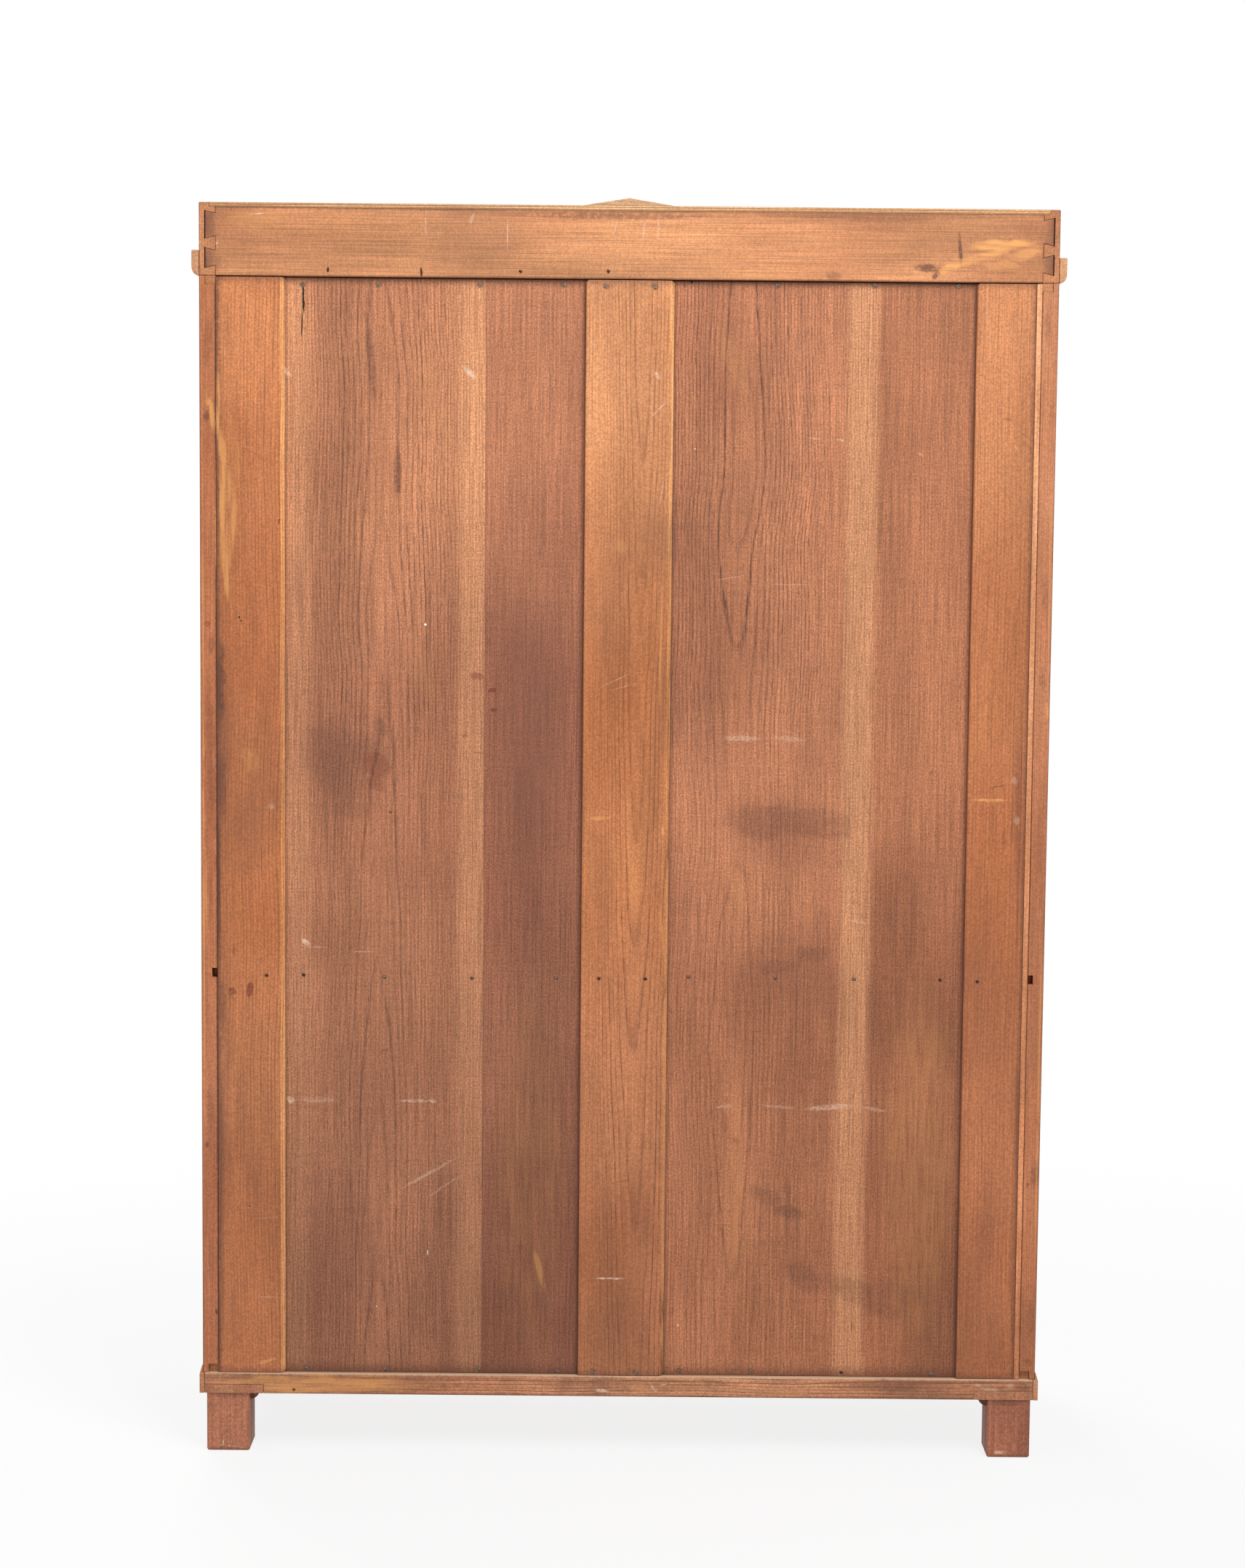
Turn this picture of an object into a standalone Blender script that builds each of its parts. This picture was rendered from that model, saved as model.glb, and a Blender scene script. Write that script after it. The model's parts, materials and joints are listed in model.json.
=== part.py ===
"""Two-door display cabinet: dovetailed crown box, panelled back, moulded base frame and block feet.

Metres, +Z up, floor at z = 0. The glazed doors face -Y and the panelled back faces +Y.
Left and right are as seen from the front, so left is -X.
"""
import math

import bmesh
import bpy
from mathutils import Matrix, Vector

# Carcass
CARCASS_WIDTH = 1.200
CARCASS_DEPTH = 0.380
SIDE_HEIGHT = 1.564
SIDE_THICK = 0.023
BOARD_THICK = 0.020            # top board, bottom board and fixed shelf
LAP_DEPTH = 0.015              # how far the top and bottom boards are let into the sides
LAP_HEIGHT = 0.012
TOP_TONGUE_SETBACK = 0.002     # from the sides' rear edge to the end of the top board's tongues
BOTTOM_TONGUE_SETBACK = 0.006
HOUSING_DEPTH = 0.008          # fixed shelf's housing in the sides
HOUSING_HEIGHT = 0.013
FIXED_SHELF_Z = 0.699          # middle of the shelf's thickness
UPPER_SHELF_Z = 1.180
UPPER_SHELF_THICK = 0.018
UPPER_SHELF_PLAY = 0.0015
SHELF_SETBACK = 0.020          # from the doors' inner face to the shelves' front edge
CLEAT_WIDTH = 0.018
CLEAT_HEIGHT = 0.022
CLEAT_SETBACK = 0.020

# Back: stiles that stand proud of two thin panels
BACK_THICK = 0.016
PANEL_RECESS = 0.007
PANEL_REBATE = 0.010
RIGHT_STILE_WIDTH = 0.090
LEFT_STILE_WIDTH = 0.0815
CENTRE_STILE_WIDTH = 0.116
FILLER_WIDTH = 0.0072          # sawn slip between the left stile and the left side
WIDE_ARRIS = 0.0055            # planed chamfer on one edge of the stiles
SLIM_ARRIS = 0.0015
STILE_NIP = 0.003              # corners nipped off the stiles' ends
BACK_HEAD_GAP = 0.0015         # between the back and the crown box

# Base frame and feet
BASE_HEIGHT = 0.031
BASE_OVERHANG = 0.005
BASE_RAIL_WIDTH = 0.030
BASE_LIP_HEIGHT = 0.009        # moulded lip that covers the foot of the carcass
BASE_LIP_EDGE = 0.0012
BASE_CHAMFER = 0.012
BASE_LAP = 0.007               # outer skin of the rails left over let-in pieces
REAR_RAIL_THICK = 0.018
FOOT_HEIGHT = 0.086
FOOT_WIDTH = 0.062
FOOT_INSET = 0.010
REAR_FOOT_INSET = 0.003
FOOT_ROUND = 0.003
FOOT_PLATE = 0.085
FOOT_PLATE_THICK = 0.013
GLUE_BLOCK = 0.013
GLUE_BLOCK_LENGTH = 0.040

# Crown box
CROWN_HEIGHT = 0.101
CROWN_SIDE_THICK = 0.023
CROWN_BOARD_THICK = 0.020
CROWN_LAP = 0.0077             # skin of the side boards over the tails
CROWN_HOUSING = 0.008          # side boards let into the front board
TOP_PANEL_THICK = 0.0065
TOP_PANEL_REBATE = 0.0084
UPPER_TAIL_Z = 0.070           # tail centres above the crown's underside
UPPER_TAIL_WIDTH = 0.039
LOWER_TAIL_Z = 0.0242
LOWER_TAIL_WIDTH = 0.0284
TAIL_SLOPE = 0.25
TAIL_CHEEK_SLACK = 0.0003      # the dried-out tails are this much slimmer and shorter than cut
TAIL_TIP_SLACK = 0.0010
TAILS = ((LOWER_TAIL_Z, LOWER_TAIL_WIDTH), (UPPER_TAIL_Z, UPPER_TAIL_WIDTH))
GABLE_RISE = 0.049
GABLE_HALF_WIDTH = 0.300
MOULDING_HEIGHT = 0.035
MOULDING_REACH = 0.0105
MOULDING_ROUND = 0.012
MOULDING_QUIRK = 0.0015

# Doors
DOOR_THICK = 0.022
DOOR_GAP = 0.002               # beside the sides
DOOR_END_GAP = 0.003           # above and below the doors
MEETING_GAP = 0.0024
DOOR_STILE = 0.058
TOP_RAIL = 0.058
BOTTOM_RAIL = 0.084
TENON_THICK = 0.008
TENON_LENGTH = 0.035
TENON_SHOULDER = 0.012
SIGHT_CHAMFER = 0.006
GLASS_THICK = 0.003
GLASS_REBATE = 0.009
GLASS_REBATE_DEPTH = 0.0105
GLASS_PLAY = 0.001
BAR_WIDTH = 0.020
BAR_SETBACK = 0.001
BEAD_WIDTH = 0.014
BEAD_PROUD = 0.005

# Hinges
HINGE_HEIGHT = 0.060
HINGE_FROM_END = 0.150
KNUCKLE_RADIUS = 0.0045
DOOR_KNUCKLE = 0.0234
PIN_RADIUS = 0.0022
LEAF_WIDTH = 0.018
LEAF_THICK = 0.0016
LEAF_SPACING = 0.0004
FINIAL_HEIGHT = 0.004

# Lock and key
LOCK_Z = 0.900
LOCK_WIDTH = 0.046
LOCK_ABOVE = 0.028
LOCK_BELOW = 0.016
LOCK_DEPTH = 0.012
LOCK_WALL = 0.0016
BOLT_HEIGHT = 0.010
BOLT_THICK = 0.006
BOLT_LENGTH = 0.030
BOLT_RISE = 0.010              # bolt's lower edge above the key's axis
BOLT_THROW = 0.010
MORTISE_PLAY = 0.0008
KEY_SETBACK = 0.036            # from the meeting edge to the key's axis
KEY_SHAFT_RADIUS = 0.0022
KEY_HOLE_RADIUS = 0.0028
KEY_REACH = 0.034              # bow's front beyond the door's face
BOW_RADIUS = 0.009
BOW_WIRE = 0.0021
BIT_REACH = 0.0070
BIT_WIDTH = 0.005
BIT_THICK = 0.0018
COLLAR_RADIUS = 0.0036
COLLAR_LENGTH = 0.002
ESCUTCHEON_WIDTH = 0.020
ESCUTCHEON_HEIGHT = 0.032
ESCUTCHEON_THICK = 0.0016

# Slide bolts on the left door
SLIDE_SETBACK = 0.024          # from the meeting edge to the rod's middle
SLIDE_PLATE_WIDTH = 0.022
SLIDE_PLATE_HEIGHT = 0.070
SLIDE_PLATE_THICK = 0.0015
SLIDE_PLATE_FROM_END = 0.010
ROD_WIDTH = 0.007
ROD_THICK = 0.005
ROD_LENGTH = 0.088
ROD_DRAWN_BACK = 0.002
SLIDE_THROW = 0.014
SLIDE_HOLE_DEPTH = 0.0135
SLIDE_HOLE_PLAY = 0.0006
STAPLE_HEIGHT = 0.008
STAPLE_WALL = 0.002
STAPLE_FROM_END = 0.006
SLIDE_KNOB_RADIUS = 0.0035
SLIDE_KNOB_LENGTH = 0.007

# Fits and easing
CLEAR = 0.0003
CUT_PAST = 0.002               # how far a cutter runs past the faces it opens
SINK = 0.001                   # how far fused shapes run into each other
EDGE_EASE = 0.001
ROUND_SIDES = 20
ARC_STEPS = 6
WELD = 1e-5                    # outline points closer than this are one
SHARP_ANGLE = math.radians(40)

# Levels and planes worked out from the sizes above
HALF = CARCASS_WIDTH / 2
INNER = HALF - SIDE_THICK
REAR = (CARCASS_DEPTH + max(KEY_REACH, MOULDING_REACH, BASE_OVERHANG)) / 2
FRONT = REAR - CARCASS_DEPTH
BACK_FRONT = REAR - BACK_THICK
BOARD_REAR = BACK_FRONT - CLEAR
DOOR_REAR = FRONT + DOOR_THICK
SHELF_FRONT = DOOR_REAR + SHELF_SETBACK
BASE_HALF = HALF + BASE_OVERHANG
BASE_FRONT = FRONT - BASE_OVERHANG
Z_BASE = FOOT_HEIGHT
Z_CARCASS = Z_BASE + BASE_HEIGHT
Z_CROWN = Z_CARCASS + SIDE_HEIGHT
Z_TOP = Z_CROWN + CROWN_HEIGHT
DOOR_BOTTOM = Z_CARCASS + BOARD_THICK + DOOR_END_GAP
DOOR_TOP = Z_CROWN - BOARD_THICK - DOOR_END_GAP
DOOR_OUTER = INNER - DOOR_GAP
DOOR_MEETING = MEETING_GAP / 2
HINGE_X = INNER - DOOR_GAP / 2
HINGE_Y = FRONT - KNUCKLE_RADIUS - CLEAR
GLASS_FRONT = DOOR_REAR - GLASS_REBATE_DEPTH + CLEAR
KEY_X = DOOR_MEETING + KEY_SETBACK
LOCK_FRONT = DOOR_REAR - LOCK_DEPTH
BOLT_Z = LOCK_Z + BOLT_RISE
BOLT_Y = (LOCK_FRONT + DOOR_REAR - LOCK_WALL) / 2
ROD_FRONT = DOOR_REAR + CLEAR + SLIDE_PLATE_THICK + CLEAR
ROD_X = -(DOOR_MEETING + SLIDE_SETBACK)

PINE = dict(colour=(0.40, 0.17, 0.065), roughness=0.55)
OAK = dict(colour=(0.27, 0.115, 0.055), roughness=0.60)
SAWN = dict(colour=(0.52, 0.27, 0.115), roughness=0.75)
DARK = dict(colour=(0.17, 0.065, 0.03), roughness=0.45)
BRASS = dict(colour=(0.60, 0.42, 0.16), roughness=0.35, metallic=1.0)
STEEL = dict(colour=(0.36, 0.34, 0.31), roughness=0.45, metallic=1.0)
GLASS = dict(colour=(0.92, 0.95, 0.93), roughness=0.03, transmission=1.0)

SIDES = (("left", -1), ("right", 1))

for leftover in list(bpy.data.objects):
    bpy.data.objects.remove(leftover)
cabinet = bpy.data.collections.new("display_cabinet")
tools = bpy.data.collections.new("cutters_and_guides")
for group in (cabinet, tools):
    bpy.context.scene.collection.children.link(group)


def dress(piece, colour, roughness, metallic=0.0, transmission=0.0):
    """Give a piece its own Principled finish."""
    material = bpy.data.materials.new(piece.name + "_finish")
    material.use_nodes = True
    inputs = material.node_tree.nodes["Principled BSDF"].inputs
    inputs["Base Color"].default_value = (*colour, 1.0)
    inputs["Roughness"].default_value = roughness
    inputs["Metallic"].default_value = metallic
    inputs["Transmission Weight"].default_value = transmission
    piece.data.materials.append(material)


def place(name, mesh, look):
    """Link a mesh as a finished piece, or as a hidden tool when it has no finish."""
    piece = bpy.data.objects.new(name, mesh)
    if look is None:
        tools.objects.link(piece)
        piece.hide_render = True
        piece.display_type = "WIRE"
    else:
        cabinet.objects.link(piece)
        dress(piece, **look)
    return piece


def mesh_from(name, shape):
    mesh = bpy.data.meshes.new(name)
    shape.to_mesh(mesh)
    shape.free()
    return mesh


def board(name, corner, other, look=None, ease=0.0, steps=1):
    """A rectangular piece between two opposite corners, its edges eased by a small bevel."""
    low = Vector(map(min, corner, other))
    high = Vector(map(max, corner, other))
    shape = bmesh.new()
    bmesh.ops.create_cube(shape, size=1.0)
    bmesh.ops.scale(shape, vec=high - low, verts=shape.verts)
    piece = place(name, mesh_from(name, shape), look)
    piece.location = (low + high) / 2
    if ease:
        rounding = piece.modifiers.new("eased_edges", "BEVEL")
        rounding.width = ease
        rounding.segments = steps
    return piece


def rod(name, start, along, length, radius, look=None, tip_radius=None):
    """A round bar or cone from start, along an axis letter, shaded smooth on its side."""
    shape = bmesh.new()
    tip = radius if tip_radius is None else tip_radius
    bmesh.ops.create_cone(
        shape, cap_ends=True, segments=ROUND_SIDES, radius1=radius, radius2=tip, depth=length
    )
    bmesh.ops.translate(shape, vec=(0, 0, length / 2), verts=shape.verts)
    piece = place(name, mesh_from(name, shape), look)
    turns = {"X": Matrix.Rotation(math.pi / 2, 4, "Y"), "Y": Matrix.Rotation(-math.pi / 2, 4, "X")}
    piece.matrix_world = Matrix.Translation(start) @ turns.get(along, Matrix())
    piece.data.shade_smooth()
    piece.data.set_sharp_from_angle(angle=SHARP_ANGLE)
    return piece


def prism(name, outlines, along, start, end, look=None, end_shift=None, start_shift=None, fold=None):
    """A flat outline, with any holes, drawn in the plane across an axis and extruded along it.

    Along X the outline is in (y, z), along Y in (x, z) and along Z in (x, y). A shift is a function of
    the outline's point that lengthens that end there, for mitres and scribed ends. A fold is the place
    on the outline's first axis where such an end bends.
    """
    low, high = min(start, end), max(start, end)
    curve = bpy.data.curves.new(name, "CURVE")
    curve.dimensions = "2D"
    curve.fill_mode = "BOTH"
    curve.extrude = (high - low) / 2
    for outline in outlines:
        spline = curve.splines.new("POLY")
        spline.points.add(len(outline) - 1)
        for point, (u, v) in zip(spline.points, outline):
            point.co = (u, v, 0.0, 1.0)
        spline.use_cyclic_u = True
    drawn = bpy.data.objects.new(name + "_outline", curve)
    bpy.context.scene.collection.objects.link(drawn)
    bpy.context.view_layer.update()
    solid = bpy.data.meshes.new_from_object(drawn.evaluated_get(bpy.context.evaluated_depsgraph_get()))
    bpy.data.objects.remove(drawn)
    shape = bmesh.new()
    shape.from_mesh(solid)
    bpy.data.meshes.remove(solid)
    bmesh.ops.remove_doubles(shape, verts=shape.verts, dist=WELD)
    if len(outlines) == 1:
        for end_sign in (-1, 1):
            cap = [
                face for face in shape.faces
                if all(corner.co.z * end_sign > 0 for corner in face.verts)
            ]
            bmesh.ops.dissolve_faces(shape, faces=cap)
    if fold is not None:
        everything = [*shape.verts, *shape.edges, *shape.faces]
        bmesh.ops.bisect_plane(
            shape, geom=everything, dist=WELD, plane_co=(fold, 0, 0), plane_no=(1, 0, 0)
        )
    for corner in shape.verts:
        if corner.co.z > 0 and end_shift:
            corner.co.z += end_shift(corner.co.x, corner.co.y)
        elif corner.co.z < 0 and start_shift:
            corner.co.z -= start_shift(corner.co.x, corner.co.y)
    turns = {"X": ((0, 0, 1), (1, 0, 0), (0, 1, 0)), "Y": ((1, 0, 0), (0, 0, -1), (0, 1, 0))}
    turn = Matrix(turns[along]).to_4x4() if along in turns else Matrix()
    middle = Vector((0, 0, 0))
    middle["XYZ".index(along)] = (low + high) / 2
    bmesh.ops.recalc_face_normals(shape, faces=shape.faces)
    piece = place(name, mesh_from(name, shape), look)
    piece.matrix_world = Matrix.Translation(middle) @ turn
    return piece


def boolean(piece, tool, operation):
    step = piece.modifiers.new(tool.name, "BOOLEAN")
    step.operation = operation
    step.object = tool
    step.solver = "EXACT"


def cut(piece, *cutters):
    for cutter in cutters:
        boolean(piece, cutter, "DIFFERENCE")


def fuse(piece, *shapes):
    for shape in shapes:
        boolean(piece, shape, "UNION")


def axis_empty(name, point):
    """An empty on a joint's axis, for the pieces that turn or slide there."""
    empty = bpy.data.objects.new(name, None)
    empty.location = point
    empty.empty_display_size = 0.05
    cabinet.objects.link(empty)
    return empty


def hang(empty, *pieces):
    for piece in pieces:
        piece.parent = empty
        piece.matrix_parent_inverse = Matrix.Translation(-empty.location)


def arc(centre, radii, start, end, steps=ARC_STEPS):
    """Points on an ellipse's arc, angles in degrees."""
    points = []
    for step in range(steps + 1):
        angle = math.radians(start + (end - start) * step / steps)
        points.append((centre[0] + radii[0] * math.cos(angle), centre[1] + radii[1] * math.sin(angle)))
    return points


def outward_x(x, _):
    """How far a point of a side profile stands out of the carcass, less the mitre's own gap."""
    return abs(x) - HALF - CLEAR


def outward_front(y, _):
    return FRONT - y - CLEAR


def foot_plate_span(end):
    """Front and rear of a foot's let-in plate."""
    if end == "rear":
        return REAR - FOOT_PLATE, REAR
    front = BASE_FRONT + BASE_LAP + CLEAR
    return front, front + FOOT_PLATE


def plate_pocket(name, end, sign):
    """Cutter for the pocket that a foot's plate is let into, open below."""
    front, rear = foot_plate_span(end)
    outer = BASE_HALF - BASE_LAP
    inner = outer - CLEAR - FOOT_PLATE - CLEAR
    past_rear = CUT_PAST if end == "rear" else CLEAR
    return board(
        name,
        (sign * outer, front - CLEAR, Z_BASE - CUT_PAST),
        (sign * inner, rear + past_rear, Z_BASE + FOOT_PLATE_THICK + CLEAR),
    )


def base_profile(outer, inner, lip, toward):
    """Rail section with a chamfered lip; toward is the direction that the moulded face looks."""
    top = Z_CARCASS - CLEAR
    lip_top = Z_CARCASS + BASE_LIP_HEIGHT
    return [
        (inner, Z_BASE),
        (outer, Z_BASE),
        (outer, lip_top - BASE_CHAMFER),
        (lip + toward * BASE_LIP_EDGE, lip_top),
        (lip, lip_top),
        (lip, top),
        (inner, top),
    ]


def build_base():
    rear_rail = board(
        "base_rear_rail",
        (-(BASE_HALF - BASE_LAP - CLEAR), REAR - REAR_RAIL_THICK, Z_BASE),
        (BASE_HALF - BASE_LAP - CLEAR, REAR, Z_CARCASS - CLEAR),
        PINE,
        EDGE_EASE,
    )
    front_profile = base_profile(BASE_FRONT, BASE_FRONT + BASE_RAIL_WIDTH, FRONT - CLEAR, -1)
    front_rail = prism(
        "base_front_rail", [front_profile], "X", -HALF, HALF, DARK, outward_front, outward_front
    )
    for side, sign in SIDES:
        profile = base_profile(
            sign * BASE_HALF, sign * (BASE_HALF - BASE_RAIL_WIDTH), sign * (HALF + CLEAR), sign
        )
        rail = prism(f"base_{side}_rail", [profile], "Y", FRONT, REAR, DARK, outward_x)
        housing = board(
            f"rear_rail_housing_{side}",
            (sign * (BASE_HALF - BASE_LAP), REAR - REAR_RAIL_THICK - CLEAR, Z_BASE - CUT_PAST),
            (sign * (BASE_HALF - BASE_RAIL_WIDTH - CUT_PAST), REAR + CUT_PAST, Z_CARCASS + CUT_PAST),
        )
        cut(rail, housing)
        rear_pocket = plate_pocket(f"rear_plate_pocket_{side}", "rear", sign)
        front_pocket = plate_pocket(f"front_plate_pocket_{side}", "front", sign)
        cut(rail, rear_pocket, front_pocket)
        cut(rear_rail, rear_pocket)
        cut(front_rail, front_pocket)


def build_foot(end, side, sign):
    """A square block foot, its let-in plate and the glue block beside it, glued up as one."""
    outer = BASE_HALF - FOOT_INSET
    inner = outer - FOOT_WIDTH
    front = BASE_FRONT + FOOT_INSET
    if end == "rear":
        front = REAR - REAR_FOOT_INSET - FOOT_WIDTH
    name = f"{end}_{side}_foot"
    foot = board(
        name,
        (sign * inner, front, 0.0),
        (sign * outer, front + FOOT_WIDTH, Z_BASE + FOOT_PLATE_THICK / 2),
        DARK,
        FOOT_ROUND,
        2,
    )
    plate_outer = BASE_HALF - BASE_LAP - CLEAR
    plate_front, plate_rear = foot_plate_span(end)
    plate = board(
        name + "_plate",
        (sign * plate_outer, plate_front, Z_BASE),
        (sign * (plate_outer - FOOT_PLATE), plate_rear, Z_BASE + FOOT_PLATE_THICK),
    )
    curve = arc((inner + SINK, Z_BASE + SINK), (GLUE_BLOCK + SINK, GLUE_BLOCK + SINK), 180, 270)
    section = [(sign * x, z) for x, z in [(inner + SINK, Z_BASE + SINK), *curve]]
    block_front = front + (FOOT_WIDTH - GLUE_BLOCK_LENGTH) / 2
    block = prism(
        name + "_glue_block", [section], "Y", block_front, block_front + GLUE_BLOCK_LENGTH
    )
    fuse(foot, plate, block)


def build_sides():
    for side, sign in SIDES:
        panel = board(
            f"{side}_side",
            (sign * INNER, FRONT, Z_CARCASS),
            (sign * HALF, REAR, Z_CROWN - CLEAR),
            PINE,
            EDGE_EASE,
        )
        lap = sign * (INNER + LAP_DEPTH)
        inside = sign * (INNER - CUT_PAST)
        for level, bottom, top in (
            ("top", Z_CROWN - LAP_HEIGHT - CLEAR, Z_CROWN + CUT_PAST),
            ("bottom", Z_CARCASS - CUT_PAST, Z_CARCASS + LAP_HEIGHT + CLEAR),
        ):
            cut(panel, board(
                f"{level}_lap_{side}", (lap, FRONT - CUT_PAST, bottom), (inside, REAR + CUT_PAST, top)
            ))
        half_housing = HOUSING_HEIGHT / 2 + CLEAR
        cut(panel, board(
            f"shelf_housing_{side}",
            (sign * (INNER + HOUSING_DEPTH), SHELF_FRONT - CLEAR, FIXED_SHELF_Z - half_housing),
            (inside, REAR + CUT_PAST, FIXED_SHELF_Z + half_housing),
        ))
        for end in ("lower", "upper"):
            cut(panel, leaf_recess(f"frame_recess_{side}_{end}", sign, end, INNER, 1))


def tongued_outline(low, high, tongue_low, tongue_high, reach):
    """Section of a board with a tongue at both ends, in (x, z); a tongue may be flush with a face."""
    body = INNER - CLEAR
    tip = INNER + reach - CLEAR
    right = [(tip, tongue_low), (tip, tongue_high)]
    if tongue_low > low:
        right[:0] = [(body, low), (body, tongue_low)]
    if tongue_high < high:
        right += [(body, tongue_high), (body, high)]
    return right + [(-x, z) for x, z in reversed(right)]


def build_boards():
    low, high = Z_CROWN - BOARD_THICK, Z_CROWN - CLEAR
    top_outline = tongued_outline(low, high, Z_CROWN - LAP_HEIGHT, high, LAP_DEPTH)
    top = prism("carcass_top", [top_outline], "Y", FRONT, BOARD_REAR, PINE)
    low, high = Z_CARCASS, Z_CARCASS + BOARD_THICK
    bottom_outline = tongued_outline(low, high, low, Z_CARCASS + LAP_HEIGHT, LAP_DEPTH)
    bottom = prism("carcass_bottom", [bottom_outline], "Y", FRONT, BOARD_REAR, PINE)
    horns = (
        (top, Z_CROWN - LAP_HEIGHT, Z_CROWN - CLEAR, TOP_TONGUE_SETBACK),
        (bottom, Z_CARCASS, Z_CARCASS + LAP_HEIGHT, BOTTOM_TONGUE_SETBACK),
    )
    for piece, foot, head, setback in horns:
        for side, sign in SIDES:
            fuse(piece, board(
                f"{piece.name}_tongue_{side}",
                (sign * INNER, BOARD_REAR - SINK, foot),
                (sign * (INNER + LAP_DEPTH - CLEAR), REAR - setback, head),
            ))
    for piece, mouth, up in ((top, Z_CROWN - BOARD_THICK, 1), (bottom, Z_CARCASS + BOARD_THICK, -1)):
        half_width = ROD_WIDTH / 2 + SLIDE_HOLE_PLAY
        cut(piece, board(
            piece.name + "_bolt_hole",
            (ROD_X - half_width, ROD_FRONT - SLIDE_HOLE_PLAY, mouth - up * CUT_PAST),
            (ROD_X + half_width, ROD_FRONT + ROD_THICK + SLIDE_HOLE_PLAY, mouth + up * SLIDE_HOLE_DEPTH),
        ))
    shelf_outline = tongued_outline(
        FIXED_SHELF_Z - BOARD_THICK / 2,
        FIXED_SHELF_Z + BOARD_THICK / 2,
        FIXED_SHELF_Z - HOUSING_HEIGHT / 2,
        FIXED_SHELF_Z + HOUSING_HEIGHT / 2,
        HOUSING_DEPTH,
    )
    prism("fixed_shelf", [shelf_outline], "Y", SHELF_FRONT, BOARD_REAR, PINE)


def build_upper_shelf():
    shelf_low = UPPER_SHELF_Z - UPPER_SHELF_THICK / 2
    board(
        "upper_shelf",
        (-(INNER - UPPER_SHELF_PLAY), SHELF_FRONT, shelf_low),
        (INNER - UPPER_SHELF_PLAY, BACK_FRONT - UPPER_SHELF_PLAY, shelf_low + UPPER_SHELF_THICK),
        PINE,
        EDGE_EASE,
    )
    for side, sign in SIDES:
        board(
            f"{side}_shelf_cleat",
            (sign * (INNER - CLEAR), SHELF_FRONT + CLEAT_SETBACK, shelf_low - CLEAR),
            (sign * (INNER - CLEAR - CLEAT_WIDTH), BACK_FRONT - CLEAR, shelf_low - CLEAR - CLEAT_HEIGHT),
            PINE,
            EDGE_EASE,
        )


def stile_edge(face, toward, arris):
    """Points of one rebated stile edge in (x, y), from the rear face to the front face."""
    edge = face + toward * arris
    tuck = edge - toward * PANEL_REBATE
    shelf = REAR - PANEL_RECESS + CLEAR
    return [(face, REAR), (edge, REAR - arris), (edge, shelf), (tuck, shelf), (tuck, BACK_FRONT)]


def nip_corner(stile, edge, toward, end, up):
    """Cut a stile's corner off its proud part; toward and up are the ways out of the wood there."""
    reach = STILE_NIP + CUT_PAST
    corner = [
        (edge - toward * reach, end + up * CUT_PAST),
        (edge + toward * CUT_PAST, end + up * CUT_PAST),
        (edge + toward * CUT_PAST, end - up * reach),
    ]
    name = f"{stile.name}_nip_{len(stile.modifiers)}"
    cut(stile, prism(name, [corner], "Y", REAR - PANEL_RECESS - SINK, REAR + CUT_PAST))


def build_back():
    low, high = Z_CARCASS + CLEAR, Z_CROWN - BACK_HEAD_GAP
    right_outer = INNER - CLEAR
    right_face = right_outer - RIGHT_STILE_WIDTH
    left_outer = -(INNER - CLEAR - FILLER_WIDTH - CLEAR)
    left_face = left_outer + LEFT_STILE_WIDTH
    centre = CENTRE_STILE_WIDTH / 2
    right_edge = stile_edge(right_face, -1, WIDE_ARRIS)
    centre_right = stile_edge(centre, 1, SLIM_ARRIS)
    centre_left = stile_edge(-centre, -1, WIDE_ARRIS)
    left_edge = stile_edge(left_face, 1, SLIM_ARRIS)
    stiles = {
        "back_right_stile": [(right_outer, REAR), *right_edge, (right_outer, BACK_FRONT)],
        "back_centre_stile": [*centre_left, *reversed(centre_right)],
        "back_left_stile": [(left_outer, REAR), *left_edge, (left_outer, BACK_FRONT)],
    }
    made = {name: prism(name, [outline], "Z", low, high, PINE) for name, outline in stiles.items()}
    nip_corner(made["back_centre_stile"], centre_right[1][0], 1, high, 1)
    nip_corner(made["back_centre_stile"], centre_left[1][0], -1, high, 1)
    nip_corner(made["back_centre_stile"], centre_left[1][0], -1, low, -1)
    nip_corner(made["back_left_stile"], left_edge[1][0], 1, high, 1)
    nip_corner(made["back_right_stile"], right_edge[1][0], -1, low, -1)
    panels = {
        "back_right_panel": (centre_right[-1][0] + CLEAR, right_edge[-1][0] - CLEAR),
        "back_left_panel": (left_edge[-1][0] + CLEAR, centre_left[-1][0] - CLEAR),
    }
    for name, (left, right) in panels.items():
        board(name, (left, BACK_FRONT, low), (right, REAR - PANEL_RECESS, high), OAK)
    board(
        "back_filler_slip",
        (-(INNER - CLEAR), BACK_FRONT, low),
        (-(INNER - CLEAR - FILLER_WIDTH), REAR, high),
        SAWN,
    )


def tail_points(sign, centre, width, root, cheek, end):
    """One dovetail in (x, z), from its lower root corner round to its upper one.

    cheek and end are how much the cheeks and the tip stand out beyond the tail's nominal size.
    """
    tip = HALF - CROWN_LAP
    drop = TAIL_SLOPE * (tip - root)
    low, high = Z_CROWN + centre - width / 2 - cheek, Z_CROWN + centre + width / 2 + cheek
    tip += end
    return [
        (sign * root, low + drop),
        (sign * tip, low),
        (sign * tip, high),
        (sign * root, high - drop),
    ]


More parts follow.
